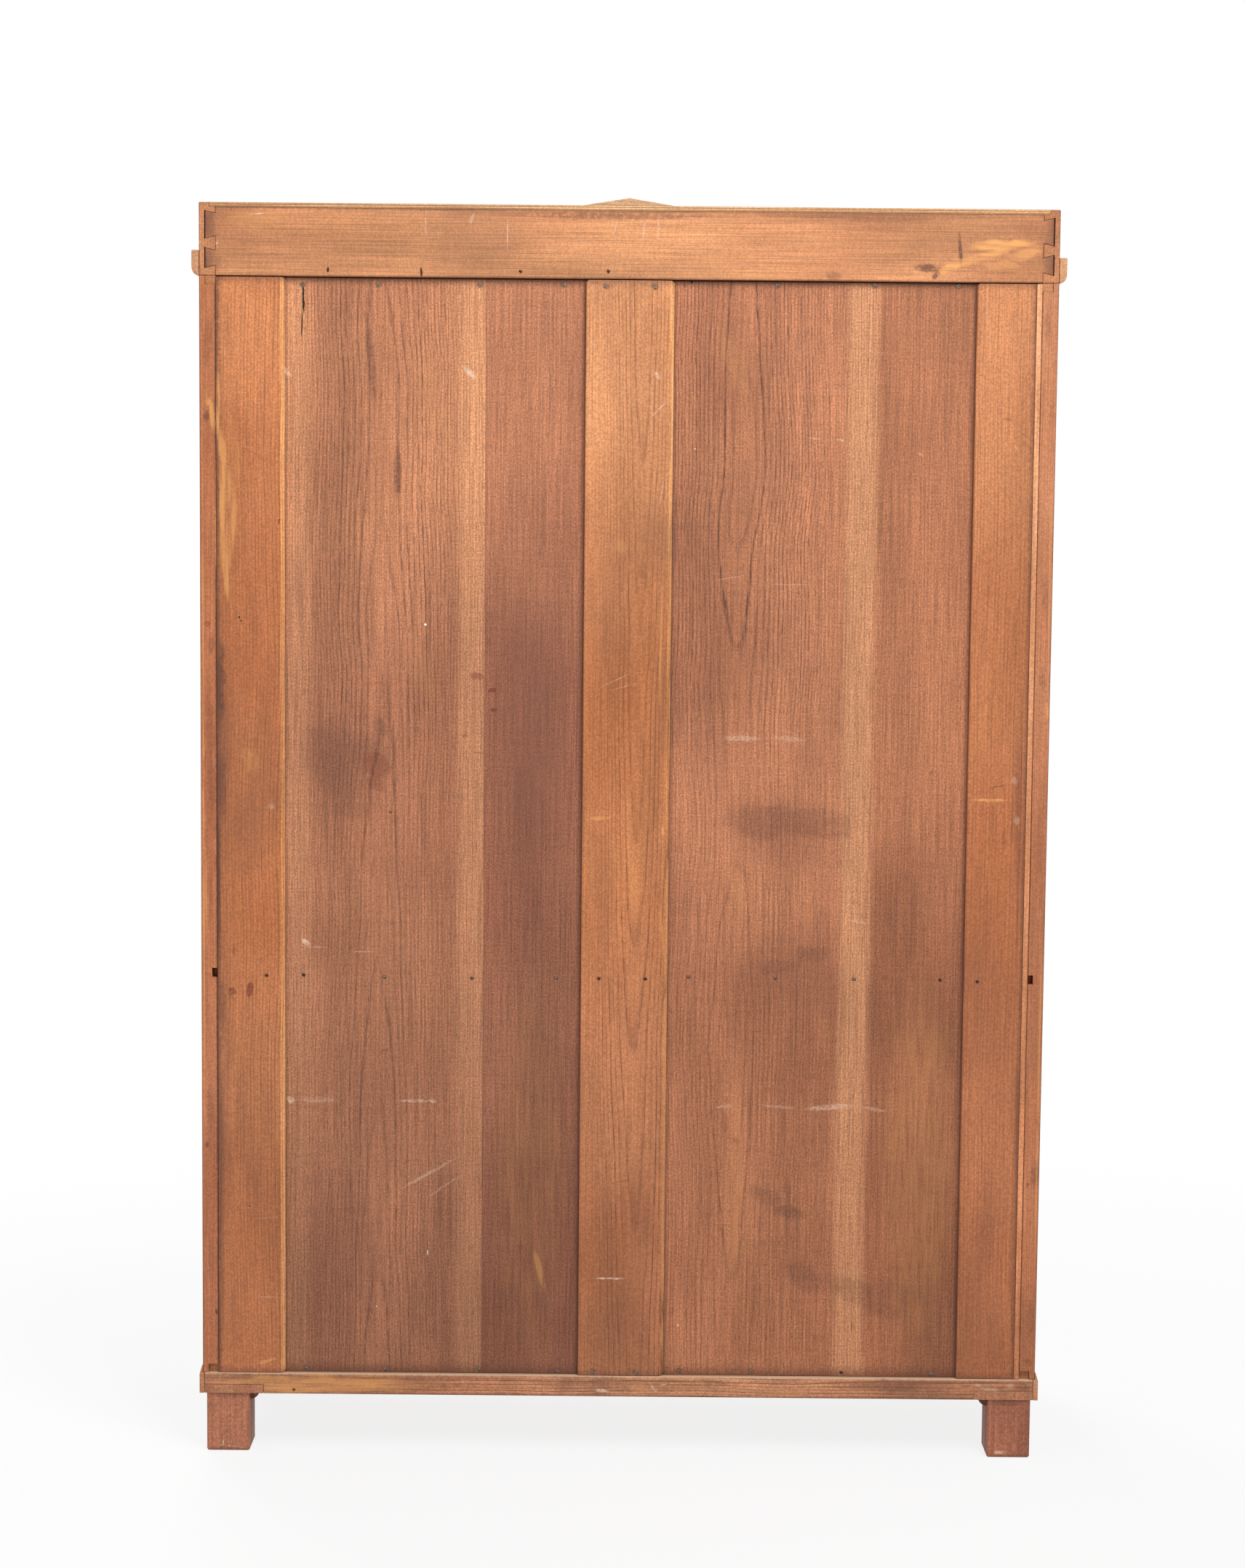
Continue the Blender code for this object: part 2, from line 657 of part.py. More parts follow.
def build_crown_boards():
    panel_seat = Z_TOP - TOP_PANEL_THICK - CLEAR
    root = HALF - CROWN_SIDE_THICK - CLEAR
    seat = HALF - CROWN_SIDE_THICK + TOP_PANEL_REBATE
    right_end = [(root, Z_CROWN)]
    for centre, width in TAILS:
        right_end += tail_points(1, centre, width, root, -TAIL_CHEEK_SLACK, -TAIL_TIP_SLACK)
    right_end.append((root, panel_seat))
    outline = right_end + [(-x, z) for x, z in reversed(right_end)]
    prism("crown_back_board", [outline], "Y", REAR - CROWN_BOARD_THICK, REAR, PINE)

    gable = [
        (-HALF, Z_CROWN), (HALF, Z_CROWN), (HALF, Z_TOP), (GABLE_HALF_WIDTH, Z_TOP),
        (0.0, Z_TOP + GABLE_RISE), (-GABLE_HALF_WIDTH, Z_TOP), (-HALF, Z_TOP),
    ]
    front = prism("crown_front_board", [gable], "Y", FRONT, FRONT + CROWN_BOARD_THICK, DARK)
    side_front = FRONT + CROWN_BOARD_THICK - CROWN_HOUSING + CLEAR
    for side, sign in SIDES:
        cut(front, board(
            f"crown_housing_{side}",
            (sign * (HALF + CUT_PAST), side_front - CLEAR, Z_CROWN - CUT_PAST),
            (sign * (root - CLEAR), FRONT + CROWN_BOARD_THICK + CUT_PAST, Z_TOP + CUT_PAST),
        ))
        side_board = board(
            f"crown_{side}_board",
            (sign * (HALF - CROWN_SIDE_THICK), side_front, Z_CROWN),
            (sign * HALF, REAR, Z_TOP),
            PINE,
            EDGE_EASE,
        )
        for index, (centre, width) in enumerate(TAILS):
            socket = tail_points(sign, centre, width, root - CUT_PAST, CLEAR, CLEAR)
            cut(side_board, prism(
                f"tail_socket_{side}_{index}",
                [socket],
                "Y",
                REAR - CROWN_BOARD_THICK - CLEAR,
                REAR + CUT_PAST,
            ))
        cut(side_board, board(
            f"top_panel_seat_{side}",
            (sign * (seat + CLEAR), FRONT, panel_seat),
            (sign * (root - CUT_PAST), REAR + CUT_PAST, Z_TOP + CUT_PAST),
        ))
    board(
        "crown_top_panel",
        (-seat, FRONT + CROWN_BOARD_THICK + CLEAR, Z_TOP - TOP_PANEL_THICK),
        (seat, REAR, Z_TOP),
        SAWN,
    )


def moulding_profile(face, toward):
    """Crown moulding: flat fascia with a rounded underside; toward is the way it stands out."""
    radii = (MOULDING_REACH - MOULDING_QUIRK, MOULDING_ROUND)
    under = arc((MOULDING_QUIRK, MOULDING_ROUND), radii, -90, 0)
    top = MOULDING_HEIGHT
    edge = [(MOULDING_REACH, top - EDGE_EASE), (MOULDING_REACH - EDGE_EASE, top)]
    steps = [(CLEAR, 0.0), *under, *edge, (CLEAR, top)]
    return [(face + toward * out, Z_CROWN + rise) for out, rise in steps]


def build_crown_mouldings():
    for side, sign in SIDES:
        profile = moulding_profile(sign * HALF, sign)
        prism(f"crown_{side}_moulding", [profile], "Y", FRONT, REAR, DARK, outward_x)
    profile = moulding_profile(FRONT, -1)
    prism("crown_front_moulding", [profile], "X", -HALF, HALF, DARK, outward_front, outward_front)


def hinge_level(end):
    """Lower edge of a hinge."""
    if end == "lower":
        return DOOR_BOTTOM + HINGE_FROM_END
    return DOOR_TOP - HINGE_FROM_END - HINGE_HEIGHT


def leaf_recess(name, sign, end, face, into):
    """Cutter that lets a hinge leaf into the wood; into is 1 for the carcass and -1 for the door."""
    low = hinge_level(end)
    depth = (LEAF_SPACING / 2 + LEAF_THICK) - DOOR_GAP / 2 + CLEAR
    return board(
        name,
        (sign * (face - into * CUT_PAST), FRONT - CUT_PAST, low - CLEAR),
        (sign * (face + into * depth), FRONT + LEAF_WIDTH + CLEAR, low + HINGE_HEIGHT + CLEAR),
    )


def build_hinge(side, sign, end):
    """A butt hinge: two frame knuckles with the pin, one door knuckle between them."""
    low = hinge_level(end)
    high = low + HINGE_HEIGHT
    door_low = low + (HINGE_HEIGHT - DOOR_KNUCKLE) / 2
    door_high = door_low + DOOR_KNUCKLE
    centre = (sign * HINGE_X, HINGE_Y)
    leaves = {}
    for owner, into in (("frame", 1), ("door", -1)):
        near = HINGE_X + into * LEAF_SPACING / 2
        far = near + into * LEAF_THICK
        name = f"{side}_{end}_hinge_{owner}_leaf"
        leaf = board(name, (sign * near, FRONT, low), (sign * far, FRONT + LEAF_WIDTH, high), BRASS)
        spans = [(door_low, door_high)]
        if owner == "frame":
            spans = [(low, door_low - CLEAR), (door_high + CLEAR, high)]
        for index, (bottom, top) in enumerate(spans):
            knuckle = rod(
                f"{name}_knuckle_{index}", (*centre, bottom), "Z", top - bottom, KNUCKLE_RADIUS
            )
            tab = board(
                f"{name}_tab_{index}",
                (sign * (near + into * LEAF_SPACING / 2), HINGE_Y, bottom),
                (sign * (far - into * LEAF_SPACING / 2), FRONT + SINK, top),
            )
            fuse(leaf, tab, knuckle)
        leaves[owner] = leaf
    frame_name = leaves["frame"].name
    pin = rod(frame_name + "_pin", (*centre, low + SINK), "Z", HINGE_HEIGHT - 2 * SINK, PIN_RADIUS)
    finial = FINIAL_HEIGHT + SINK
    root, tip = KNUCKLE_RADIUS - CLEAR, KNUCKLE_RADIUS / 2
    cap = rod(frame_name + "_cap", (*centre, high - SINK), "Z", finial, root, tip_radius=tip)
    foot = rod(frame_name + "_foot", (*centre, low - FINIAL_HEIGHT), "Z", finial, tip, tip_radius=root)
    fuse(leaves["frame"], pin, cap, foot)
    bore = rod(
        leaves["door"].name + "_bore",
        (*centre, door_low - CUT_PAST),
        "Z",
        DOOR_KNUCKLE + 2 * CUT_PAST,
        PIN_RADIUS + CLEAR,
    )
    cut(leaves["door"], bore)
    return leaves["door"]


def sight_cutters(name, low_x, high_x, low_z, high_z):
    """Cutters for a door's sight opening: its chamfer in front and the glass rebate behind."""
    middle = Vector(((low_x + high_x) / 2, 0, (low_z + high_z) / 2))
    front, rear = FRONT - CUT_PAST, FRONT + SIGHT_CHAMFER
    flare = board(name + "_chamfer", (low_x, front, low_z), (high_x, rear, high_z))
    spread = SIGHT_CHAMFER + CUT_PAST
    for corner in flare.data.vertices:
        if corner.co.y < 0:
            corner.co.x += math.copysign(spread, corner.co.x)
            corner.co.z += math.copysign(spread, corner.co.z)
    flare.location = (middle.x, (front + rear) / 2, middle.z)
    rebate = board(
        name + "_glass_rebate",
        (low_x - GLASS_REBATE, DOOR_REAR - GLASS_REBATE_DEPTH, low_z - GLASS_REBATE),
        (high_x + GLASS_REBATE, DOOR_REAR + CUT_PAST, high_z + GLASS_REBATE),
    )
    return flare, rebate


def meeting_stile_outline(sign):
    """Meeting stile in (x, y); the right one carries a half-round bead along its meeting edge."""
    near, far = DOOR_MEETING, DOOR_MEETING + DOOR_STILE
    corners = [(far, FRONT), (far, DOOR_REAR), (near, DOOR_REAR), (near, FRONT)]
    if sign > 0:
        corners[-1:] = arc((near + BEAD_WIDTH / 2, FRONT), (BEAD_WIDTH / 2, BEAD_PROUD), 180, 360)
    return [(sign * x, y) for x, y in corners]


def door_rail(name, left, right, low, high, tenon_low, tenon_high):
    rail = board(name, (left + CLEAR, FRONT, low), (right - CLEAR, DOOR_REAR, high), DARK, EDGE_EASE)
    middle = FRONT + DOOR_THICK / 2
    fuse(rail, board(
        name + "_tenons",
        (left - TENON_LENGTH, middle - TENON_THICK / 2, tenon_low),
        (right + TENON_LENGTH, middle + TENON_THICK / 2, tenon_high),
    ))
    return rail


def mortise(name, edge, away, low, high):
    """Cutter for a tenon's mortise; away is the way it runs into the stile."""
    middle = FRONT + DOOR_THICK / 2
    half = TENON_THICK / 2 + CLEAR
    return board(
        name,
        (edge - away * CUT_PAST, middle - half, low - CLEAR),
        (edge + away * (TENON_LENGTH + CLEAR), middle + half, high + CLEAR),
    )


def glazing_bar(name, left, right, level):
    """A chamfered bar before the glass, its ends scribed to the stiles' chamfer."""
    front, rear = FRONT + BAR_SETBACK, GLASS_FRONT - CLEAR
    half = BAR_WIDTH / 2
    shoulder = FRONT + SIGHT_CHAMFER
    slim = half - (shoulder - front)
    outline = [
        (front, level - slim), (front, level + slim), (shoulder, level + half),
        (rear, level + half), (rear, level - half), (shoulder, level - half),
    ]

    def scribe(y, _):
        return max(0.0, shoulder - y) - CLEAR

    return prism(name, [outline], "X", left, right, DARK, scribe, scribe, shoulder)


def build_door(side, sign):
    hinge_edge, meeting_edge = DOOR_OUTER, DOOR_MEETING
    sight_outer, sight_inner = hinge_edge - DOOR_STILE, meeting_edge + DOOR_STILE
    left, right = sorted((sign * sight_outer, sign * sight_inner))
    low, high = DOOR_BOTTOM + BOTTOM_RAIL, DOOR_TOP - TOP_RAIL
    name = f"{side}_door"
    hinge_stile = board(
        f"{name}_hinge_stile",
        (sign * sight_outer, FRONT, DOOR_BOTTOM),
        (sign * hinge_edge, DOOR_REAR, DOOR_TOP),
        DARK,
        EDGE_EASE,
    )
    meeting_stile = prism(
        f"{name}_meeting_stile", [meeting_stile_outline(sign)], "Z", DOOR_BOTTOM, DOOR_TOP, DARK
    )
    tenons = {
        "bottom": (DOOR_BOTTOM + TENON_SHOULDER, low - TENON_SHOULDER),
        "top": (high + TENON_SHOULDER, DOOR_TOP - TENON_SHOULDER),
    }
    bottom_rail = door_rail(f"{name}_bottom_rail", left, right, DOOR_BOTTOM, low, *tenons["bottom"])
    top_rail = door_rail(f"{name}_top_rail", left, right, high, DOOR_TOP, *tenons["top"])
    for level, span in tenons.items():
        cut(hinge_stile, mortise(f"{name}_{level}_hinge_mortise", sign * sight_outer, sign, *span))
        cut(meeting_stile, mortise(f"{name}_{level}_meeting_mortise", sign * sight_inner, -sign, *span))
    frame = [hinge_stile, meeting_stile, bottom_rail, top_rail]
    cutters = sight_cutters(name, left, right, low, high)
    for piece in frame:
        cut(piece, *cutters)
    reach = GLASS_REBATE - GLASS_PLAY
    glass = board(
        f"{name}_glass",
        (left - reach, GLASS_FRONT, low - reach),
        (right + reach, GLASS_FRONT + GLASS_THICK, high + reach),
        GLASS,
    )
    bars = [
        glazing_bar(f"{name}_{place_name}_bar", left, right, level)
        for place_name, level in (("lower", FIXED_SHELF_Z), ("upper", UPPER_SHELF_Z))
    ]
    leaves = []
    for end in ("lower", "upper"):
        cut(hinge_stile, leaf_recess(f"{name}_recess_{end}", sign, end, DOOR_OUTER, -1))
        leaves.append(build_hinge(side, sign, end))
    axis = axis_empty(f"{name}_axis", Vector((sign * HINGE_X, HINGE_Y, DOOR_BOTTOM)))
    hang(axis, *frame, glass, *bars, *leaves)
    return axis, meeting_stile


def keyhole_outline(radius, slot_width, slot_depth):
    """A round hole with a slot below it for the bit, in (x, z)."""
    half = slot_width / 2
    start = math.degrees(math.asin(half / radius))
    ring = arc((KEY_X, LOCK_Z), (radius, radius), start - 90, 270 - start, 2 * ARC_STEPS)
    return [*ring, (KEY_X - half, LOCK_Z - slot_depth), (KEY_X + half, LOCK_Z - slot_depth)]


def build_lock(axis, meeting_stile, left_stile):
    low, high = LOCK_Z - LOCK_BELOW, LOCK_Z + LOCK_ABOVE
    near, far = DOOR_MEETING, DOOR_MEETING + LOCK_WIDTH
    cut(meeting_stile, board(
        "lock_recess",
        (near - CUT_PAST, LOCK_FRONT - CLEAR, low - CLEAR),
        (far + CLEAR, DOOR_REAR + CUT_PAST, high + CLEAR),
    ))
    case = board("lock_case", (near, LOCK_FRONT, low), (far, DOOR_REAR, high), STEEL)
    cut(case, board(
        "lock_case_inside",
        (near + LOCK_WALL, LOCK_FRONT - CUT_PAST, low + LOCK_WALL),
        (far - LOCK_WALL, DOOR_REAR - LOCK_WALL, high - LOCK_WALL),
    ))
    bolt_front, bolt_rear = BOLT_Y - BOLT_THICK / 2, BOLT_Y + BOLT_THICK / 2
    bolt = board(
        "lock_bolt",
        (near + CLEAR, bolt_front, BOLT_Z),
        (near + CLEAR + BOLT_LENGTH, bolt_rear, BOLT_Z + BOLT_HEIGHT),
        BRASS,
    )
    cut(case, board(
        "lock_bolt_slot",
        (near - CUT_PAST, bolt_front - CLEAR, BOLT_Z - CLEAR),
        (near + LOCK_WALL + CUT_PAST, bolt_rear + CLEAR, BOLT_Z + BOLT_HEIGHT + CLEAR),
    ))
    cut(left_stile, board(
        "lock_bolt_mortise",
        (-DOOR_MEETING + CUT_PAST, bolt_front - MORTISE_PLAY, BOLT_Z - MORTISE_PLAY),
        (-BOLT_THROW - MORTISE_PLAY, bolt_rear + MORTISE_PLAY, BOLT_Z + BOLT_HEIGHT + MORTISE_PLAY),
    ))
    keyhole = keyhole_outline(KEY_HOLE_RADIUS, BIT_THICK + 2 * CLEAR, BIT_REACH + CLEAR)
    cut(meeting_stile, prism("keyhole", [keyhole], "Y", FRONT - CUT_PAST, LOCK_FRONT + CUT_PAST))
    rim = arc((KEY_X, LOCK_Z), (ESCUTCHEON_WIDTH / 2, ESCUTCHEON_HEIGHT / 2), 0, 360, 4 * ARC_STEPS)[:-1]
    plate_rear = FRONT - CLEAR
    escutcheon = prism(
        "key_escutcheon", [rim, keyhole], "Y", plate_rear - ESCUTCHEON_THICK, plate_rear, BRASS
    )
    hang(axis, case, escutcheon)
    slide = axis_empty("lock_bolt_path", Vector((near, BOLT_Y, BOLT_Z)))
    hang(slide, bolt)
    return plate_rear - ESCUTCHEON_THICK


def build_key(plate_front):
    """A ring-bowed key standing in the lock, its bit hanging down inside the case."""
    tip = DOOR_REAR - LOCK_WALL - CLEAR
    bow_middle = FRONT - KEY_REACH + BOW_RADIUS + BOW_WIRE
    shaft_front = bow_middle + BOW_RADIUS
    key = rod("door_key", (KEY_X, shaft_front, LOCK_Z), "Y", tip - shaft_front, KEY_SHAFT_RADIUS, STEEL)
    bpy.ops.mesh.primitive_torus_add(
        major_radius=BOW_RADIUS,
        minor_radius=BOW_WIRE,
        major_segments=ROUND_SIDES,
        minor_segments=ROUND_SIDES // 2,
        location=(KEY_X, bow_middle, LOCK_Z),
        rotation=(0, math.pi / 2, 0),
    )
    bow = bpy.context.object
    bow.name = "door_key_bow"
    bow.users_collection[0].objects.unlink(bow)
    tools.objects.link(bow)
    bow.hide_render = True
    bow.display_type = "WIRE"
    collar = rod(
        "door_key_collar",
        (KEY_X, plate_front - CLEAR - COLLAR_LENGTH, LOCK_Z),
        "Y",
        COLLAR_LENGTH,
        COLLAR_RADIUS,
    )
    bit = board(
        "door_key_bit",
        (KEY_X - BIT_THICK / 2, tip - SINK - BIT_WIDTH, LOCK_Z - BIT_REACH),
        (KEY_X + BIT_THICK / 2, tip - SINK, LOCK_Z),
    )
    fuse(key, bow, collar, bit)
    hang(axis_empty("door_key_axis", Vector((KEY_X, FRONT, LOCK_Z))), key)


def build_slide_bolt(place_name, end, up, axis):
    """A flat slide bolt on the left door: rod with a knob, running in two staples on a plate."""
    plate_end = end - up * SLIDE_PLATE_FROM_END
    plate_back = plate_end - up * SLIDE_PLATE_HEIGHT
    plate_front = DOOR_REAR + CLEAR
    name = f"{place_name}_bolt"
    guide = board(
        f"{name}_guide",
        (ROD_X - SLIDE_PLATE_WIDTH / 2, plate_front, plate_end),
        (ROD_X + SLIDE_PLATE_WIDTH / 2, plate_front + SLIDE_PLATE_THICK, plate_back),
        BRASS,
    )
    half_rod = ROD_WIDTH / 2
    half_staple = half_rod + CLEAR + STAPLE_WALL
    staple_rear = ROD_FRONT + ROD_THICK + CLEAR + STAPLE_WALL
    near_staple = plate_end - up * STAPLE_FROM_END
    far_staple = plate_back + up * (STAPLE_FROM_END + STAPLE_HEIGHT)
    for index, start in enumerate((near_staple, far_staple)):
        fuse(guide, board(
            f"{name}_staple_{index}",
            (ROD_X - half_staple, plate_front + SLIDE_PLATE_THICK / 2, start),
            (ROD_X + half_staple, staple_rear, start - up * STAPLE_HEIGHT),
        ))
    cut(guide, board(
        f"{name}_channel",
        (ROD_X - half_rod - CLEAR, ROD_FRONT - CLEAR, plate_end + up * CUT_PAST),
        (ROD_X + half_rod + CLEAR, ROD_FRONT + ROD_THICK + CLEAR, plate_back - up * CUT_PAST),
    ))
    tip = end - up * ROD_DRAWN_BACK
    bolt = board(
        name,
        (ROD_X - half_rod, ROD_FRONT, tip),
        (ROD_X + half_rod, ROD_FRONT + ROD_THICK, tip - up * ROD_LENGTH),
        BRASS,
    )
    knob_z = (plate_end + plate_back) / 2 - up * SLIDE_THROW / 2
    fuse(bolt, rod(
        f"{name}_knob",
        (ROD_X, ROD_FRONT + ROD_THICK - SINK, knob_z),
        "Y",
        SLIDE_KNOB_LENGTH + SINK,
        SLIDE_KNOB_RADIUS,
    ))
    hang(axis, guide)
    hang(axis_empty(f"{name}_path", Vector((ROD_X, ROD_FRONT, tip))), bolt)


build_base()
for foot_end in ("front", "rear"):
    for foot_side, foot_sign in SIDES:
        build_foot(foot_end, foot_side, foot_sign)
build_sides()
build_boards()
build_upper_shelf()
build_back()
build_crown_boards()
build_crown_mouldings()
left_axis, left_meeting_stile = build_door("left", -1)
right_axis, right_meeting_stile = build_door("right", 1)
build_key(build_lock(right_axis, right_meeting_stile, left_meeting_stile))
build_slide_bolt("top", DOOR_TOP, 1, left_axis)
build_slide_bolt("bottom", DOOR_BOTTOM, -1, left_axis)
bpy.context.view_layer.update()
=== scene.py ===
import json
import math

import bpy
import numpy as np
from mathutils import Matrix, Vector

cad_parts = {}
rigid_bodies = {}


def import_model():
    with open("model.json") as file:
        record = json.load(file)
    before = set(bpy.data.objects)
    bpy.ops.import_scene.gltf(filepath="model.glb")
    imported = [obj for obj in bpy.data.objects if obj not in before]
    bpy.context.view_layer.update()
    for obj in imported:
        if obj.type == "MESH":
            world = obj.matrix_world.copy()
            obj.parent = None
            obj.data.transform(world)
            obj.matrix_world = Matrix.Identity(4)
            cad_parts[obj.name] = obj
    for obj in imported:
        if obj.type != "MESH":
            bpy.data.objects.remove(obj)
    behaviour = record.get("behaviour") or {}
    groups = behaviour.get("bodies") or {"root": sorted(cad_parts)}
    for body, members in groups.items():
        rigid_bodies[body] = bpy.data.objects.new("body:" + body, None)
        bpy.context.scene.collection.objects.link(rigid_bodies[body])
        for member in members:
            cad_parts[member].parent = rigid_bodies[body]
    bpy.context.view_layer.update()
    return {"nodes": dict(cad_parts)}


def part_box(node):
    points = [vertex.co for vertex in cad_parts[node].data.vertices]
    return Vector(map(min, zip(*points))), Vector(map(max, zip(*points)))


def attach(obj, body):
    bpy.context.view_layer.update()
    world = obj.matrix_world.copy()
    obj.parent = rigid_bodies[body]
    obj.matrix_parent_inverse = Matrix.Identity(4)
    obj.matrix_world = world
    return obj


for spare in list(bpy.data.objects):  # an empty bench before the cabinet comes in
    bpy.data.objects.remove(spare)
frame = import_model()
nodes = frame["nodes"]
scene = bpy.context.scene
scene.view_settings.view_transform = "Standard"
print("cabinet loaded:", len(nodes), "nodes")

# camera: straight behind the cabinet, a little above its middle
cameraLook = {
    "place": (0.00488, 4.34544, 1.35058),
    "lens": 67.375,      # for a picture 36 mm high
    "heading": 179.9699,
    "dip": 5.1975,
    "roll": 0.5369,
    "far": 80.0,
}
camera = bpy.data.objects.new("photoCamera", bpy.data.cameras.new("photoCamera"))
camera.data.lens = cameraLook["lens"]
camera.data.clip_end = cameraLook["far"]
camera.matrix_world = (
    Matrix.Translation(cameraLook["place"])
    @ Matrix.Rotation(math.radians(cameraLook["heading"]), 4, "Z")
    @ Matrix.Rotation(math.radians(90 - cameraLook["dip"]), 4, "X")
    @ Matrix.Rotation(math.radians(cameraLook["roll"]), 4, "Z")
)
scene.collection.objects.link(camera)
scene.camera = camera
print("camera set")


# a node with its settings; a value is a number, a colour or another node's output
def put(tree, kind, values=None, **settings):
    node = tree.nodes.new(kind)
    for name, value in settings.items():
        setattr(node, name, value)
    for name, value in (values or {}).items():
        socket = node.inputs[name]
        if isinstance(value, bpy.types.NodeSocket):
            tree.links.new(value, socket)
        elif socket.type == "RGBA" and len(value) == 3:
            socket.default_value = (*value, 1)
        else:
            socket.default_value = value
    return node


def calc(tree, operation, *values):
    return put(tree, "ShaderNodeMath", dict(enumerate(values)), operation=operation).outputs[0]


# smooth step from low to high
def ramp(tree, value, low, high, atLow=0.0, atHigh=1.0):
    values = {"Value": value, "From Min": low, "From Max": high, "To Min": atLow, "To Max": atHigh}
    return put(tree, "ShaderNodeMapRange", values, interpolation_type="SMOOTHSTEP").outputs[0]


# noise with its own count of waves per metre on each axis
def speckle(tree, where, waves, detail=2.0):
    spread = put(tree, "ShaderNodeVectorMath", {0: where, 1: waves}, operation="MULTIPLY").outputs[0]
    return put(tree, "ShaderNodeTexNoise", {"Vector": spread, "Scale": 1.0, "Detail": detail})


def tinge(tree, amount, under, over, way="MIX"):
    values = {0: amount, 6: under, 7: over}
    return put(tree, "ShaderNodeMix", values, data_type="RGBA", blend_type=way).outputs[2]


# coordinates shaken sideways by a noise, so that the edges of a mark come out ragged
def shaken(tree, where, waves, reach):
    jitter = speckle(tree, where, (waves, waves, waves)).outputs[1]
    middle = put(tree, "ShaderNodeVectorMath", {0: jitter, 1: (0.5, 0.5, 0.5)}, operation="SUBTRACT")
    scale = {0: middle.outputs[0], 1: (reach, 0, reach), 2: where}
    return put(tree, "ShaderNodeVectorMath", scale, operation="MULTIPLY_ADD").outputs[0]


# what the old wood's marks look like; a row of a piece's wear is
# (x, z, half length, half width in mm, turn in degrees, strength in per cent)
wearLook = {
    "grime": {"colour": (0.105, 0.045, 0.031), "edge": 0.55, "patchy": 0.55},
    "haze": {"colour": (0.170, 0.066, 0.043), "edge": 1.0, "patchy": 0.20},
    "red": {"colour": (0.180, 0.040, 0.022), "edge": 0.35, "patchy": 0.25},
    "bare": {"colour": (0.780, 0.365, 0.122), "edge": 0.60, "patchy": 0.80},
    "scuff": {"colour": (0.780, 0.530, 0.390), "edge": 0.55, "patchy": 0.75},
    "white": {"colour": (0.900, 0.850, 0.800), "edge": 0.40, "patchy": 0.0},
    "hole": {"colour": (0.016, 0.009, 0.007), "edge": 0.40, "patchy": 0.0},
    "thin": 1.5,         # marks wider than this have shaken edges,
    "broad": 8.0,        # wider than this a coarser shake,
    "soft": 13.0,        # and wider than this a slow one
    "shakes": ((160, 0.0034), (42, 0.018), (17, 0.030)),   # waves per metre and reach of each shake
    "reach": 0.006,      # how deep a mark goes into the wood
    "sunk": -6.0,        # how deep a hole lies in the relief
    "headTurn": 20,      # degrees, of the marks round a screw or nail
    "order": ("haze", "grime", "red", "bare", "scuff", "white", "hole"),
}


# each mark is an ellipse on the face: strength falls from its middle by a smooth step, and the
# strongest mark of a kind wins where two meet
def wearAmount(tree, shakes, rows, face, kind):
    total = None
    for x, z, half, wide, turn, strength in rows:
        values = {
            "Vector": shakes[sum(wide > wearLook[limit] for limit in ("thin", "broad", "soft"))],
            "Location": (x / 1000, face, z / 1000),
            "Rotation": (0, -math.radians(turn), 0),
            "Scale": (half / 1000, wearLook["reach"], wide / 1000),
        }
        spot = put(tree, "ShaderNodeMapping", values, vector_type="TEXTURE").outputs[0]
        glow = put(tree, "ShaderNodeTexGradient", {0: spot}, gradient_type="SPHERICAL").outputs[1]
        amount = ramp(tree, glow, 0.0, kind["edge"], 0.0, strength / 100)
        total = amount if total is None else calc(tree, "MAXIMUM", total, amount)
    return total


# slotted screws along the top and foot of the back, nails into the fixed shelf's edge
# each place is (x, z, how far the face lies in from the back's plane) in mm; a sunk nail has no head
# marks round each: kind of wear, half length, half width, strength and how far it lies below
backScrewLook = {
    "radius": 0.0031, "slot": 0.0010, "depth": 0.0007, "rim": 0.0002, "dome": 0.0003, "sink": 0.001,
    "seed": 3, "rear": 0.207, "marks": {"grime": (6.2, 5.6, 75, 0.0)}, "sunk": [],
    "places": [
        (456, 1670, 7), (350, 1671, 7), (208, 1672, 7), (91, 1673, 7), (32, 1671, 0),
        (-36, 1671, 0), (-207, 1675, 7), (-343, 1676, 7), (-460, 1676, 7),
        (450, 122, 7), (336, 122, 7), (203, 122, 7), (89, 121, 7), (37, 123, 0),
        (-24, 122, 0), (-86, 123, 7), (-191, 123, 7), (-451, 122, 7),
    ],
}
backNailLook = {
    "radius": 0.0017, "slot": 0.0003, "depth": 0.0, "rim": 0.0001, "dome": 0.0003, "sink": 0.001,
    "seed": 5, "rear": 0.207, "marks": {"grime": (4.4, 4.0, 60, 0.0), "hole": (3.0, 2.7, 92, 0.8)},
    "places": [(340, 694, 7), (215, 694, 7), (95, 695, 7), (-94, 698, 7), (-217, 698, 7), (-330, 697, 7)],
    "sunk": [(507, 696), (455, 696), (34, 696), (-32, 696), (-321, 123), (-453, 697), (-505, 696)],
}


def headRows(kind, low, high):
    rows = []
    for look in (backScrewLook, backNailLook):
        if kind in look["marks"]:
            half, wide, strength, below = look["marks"][kind]
            spots = [spot for spot in look["places"] + look["sunk"] if low < spot[0] < high]
            turn = wearLook["headTurn"]
            rows += [(spot[0], spot[1] - below, half, wide, turn, strength) for spot in spots]
    return rows


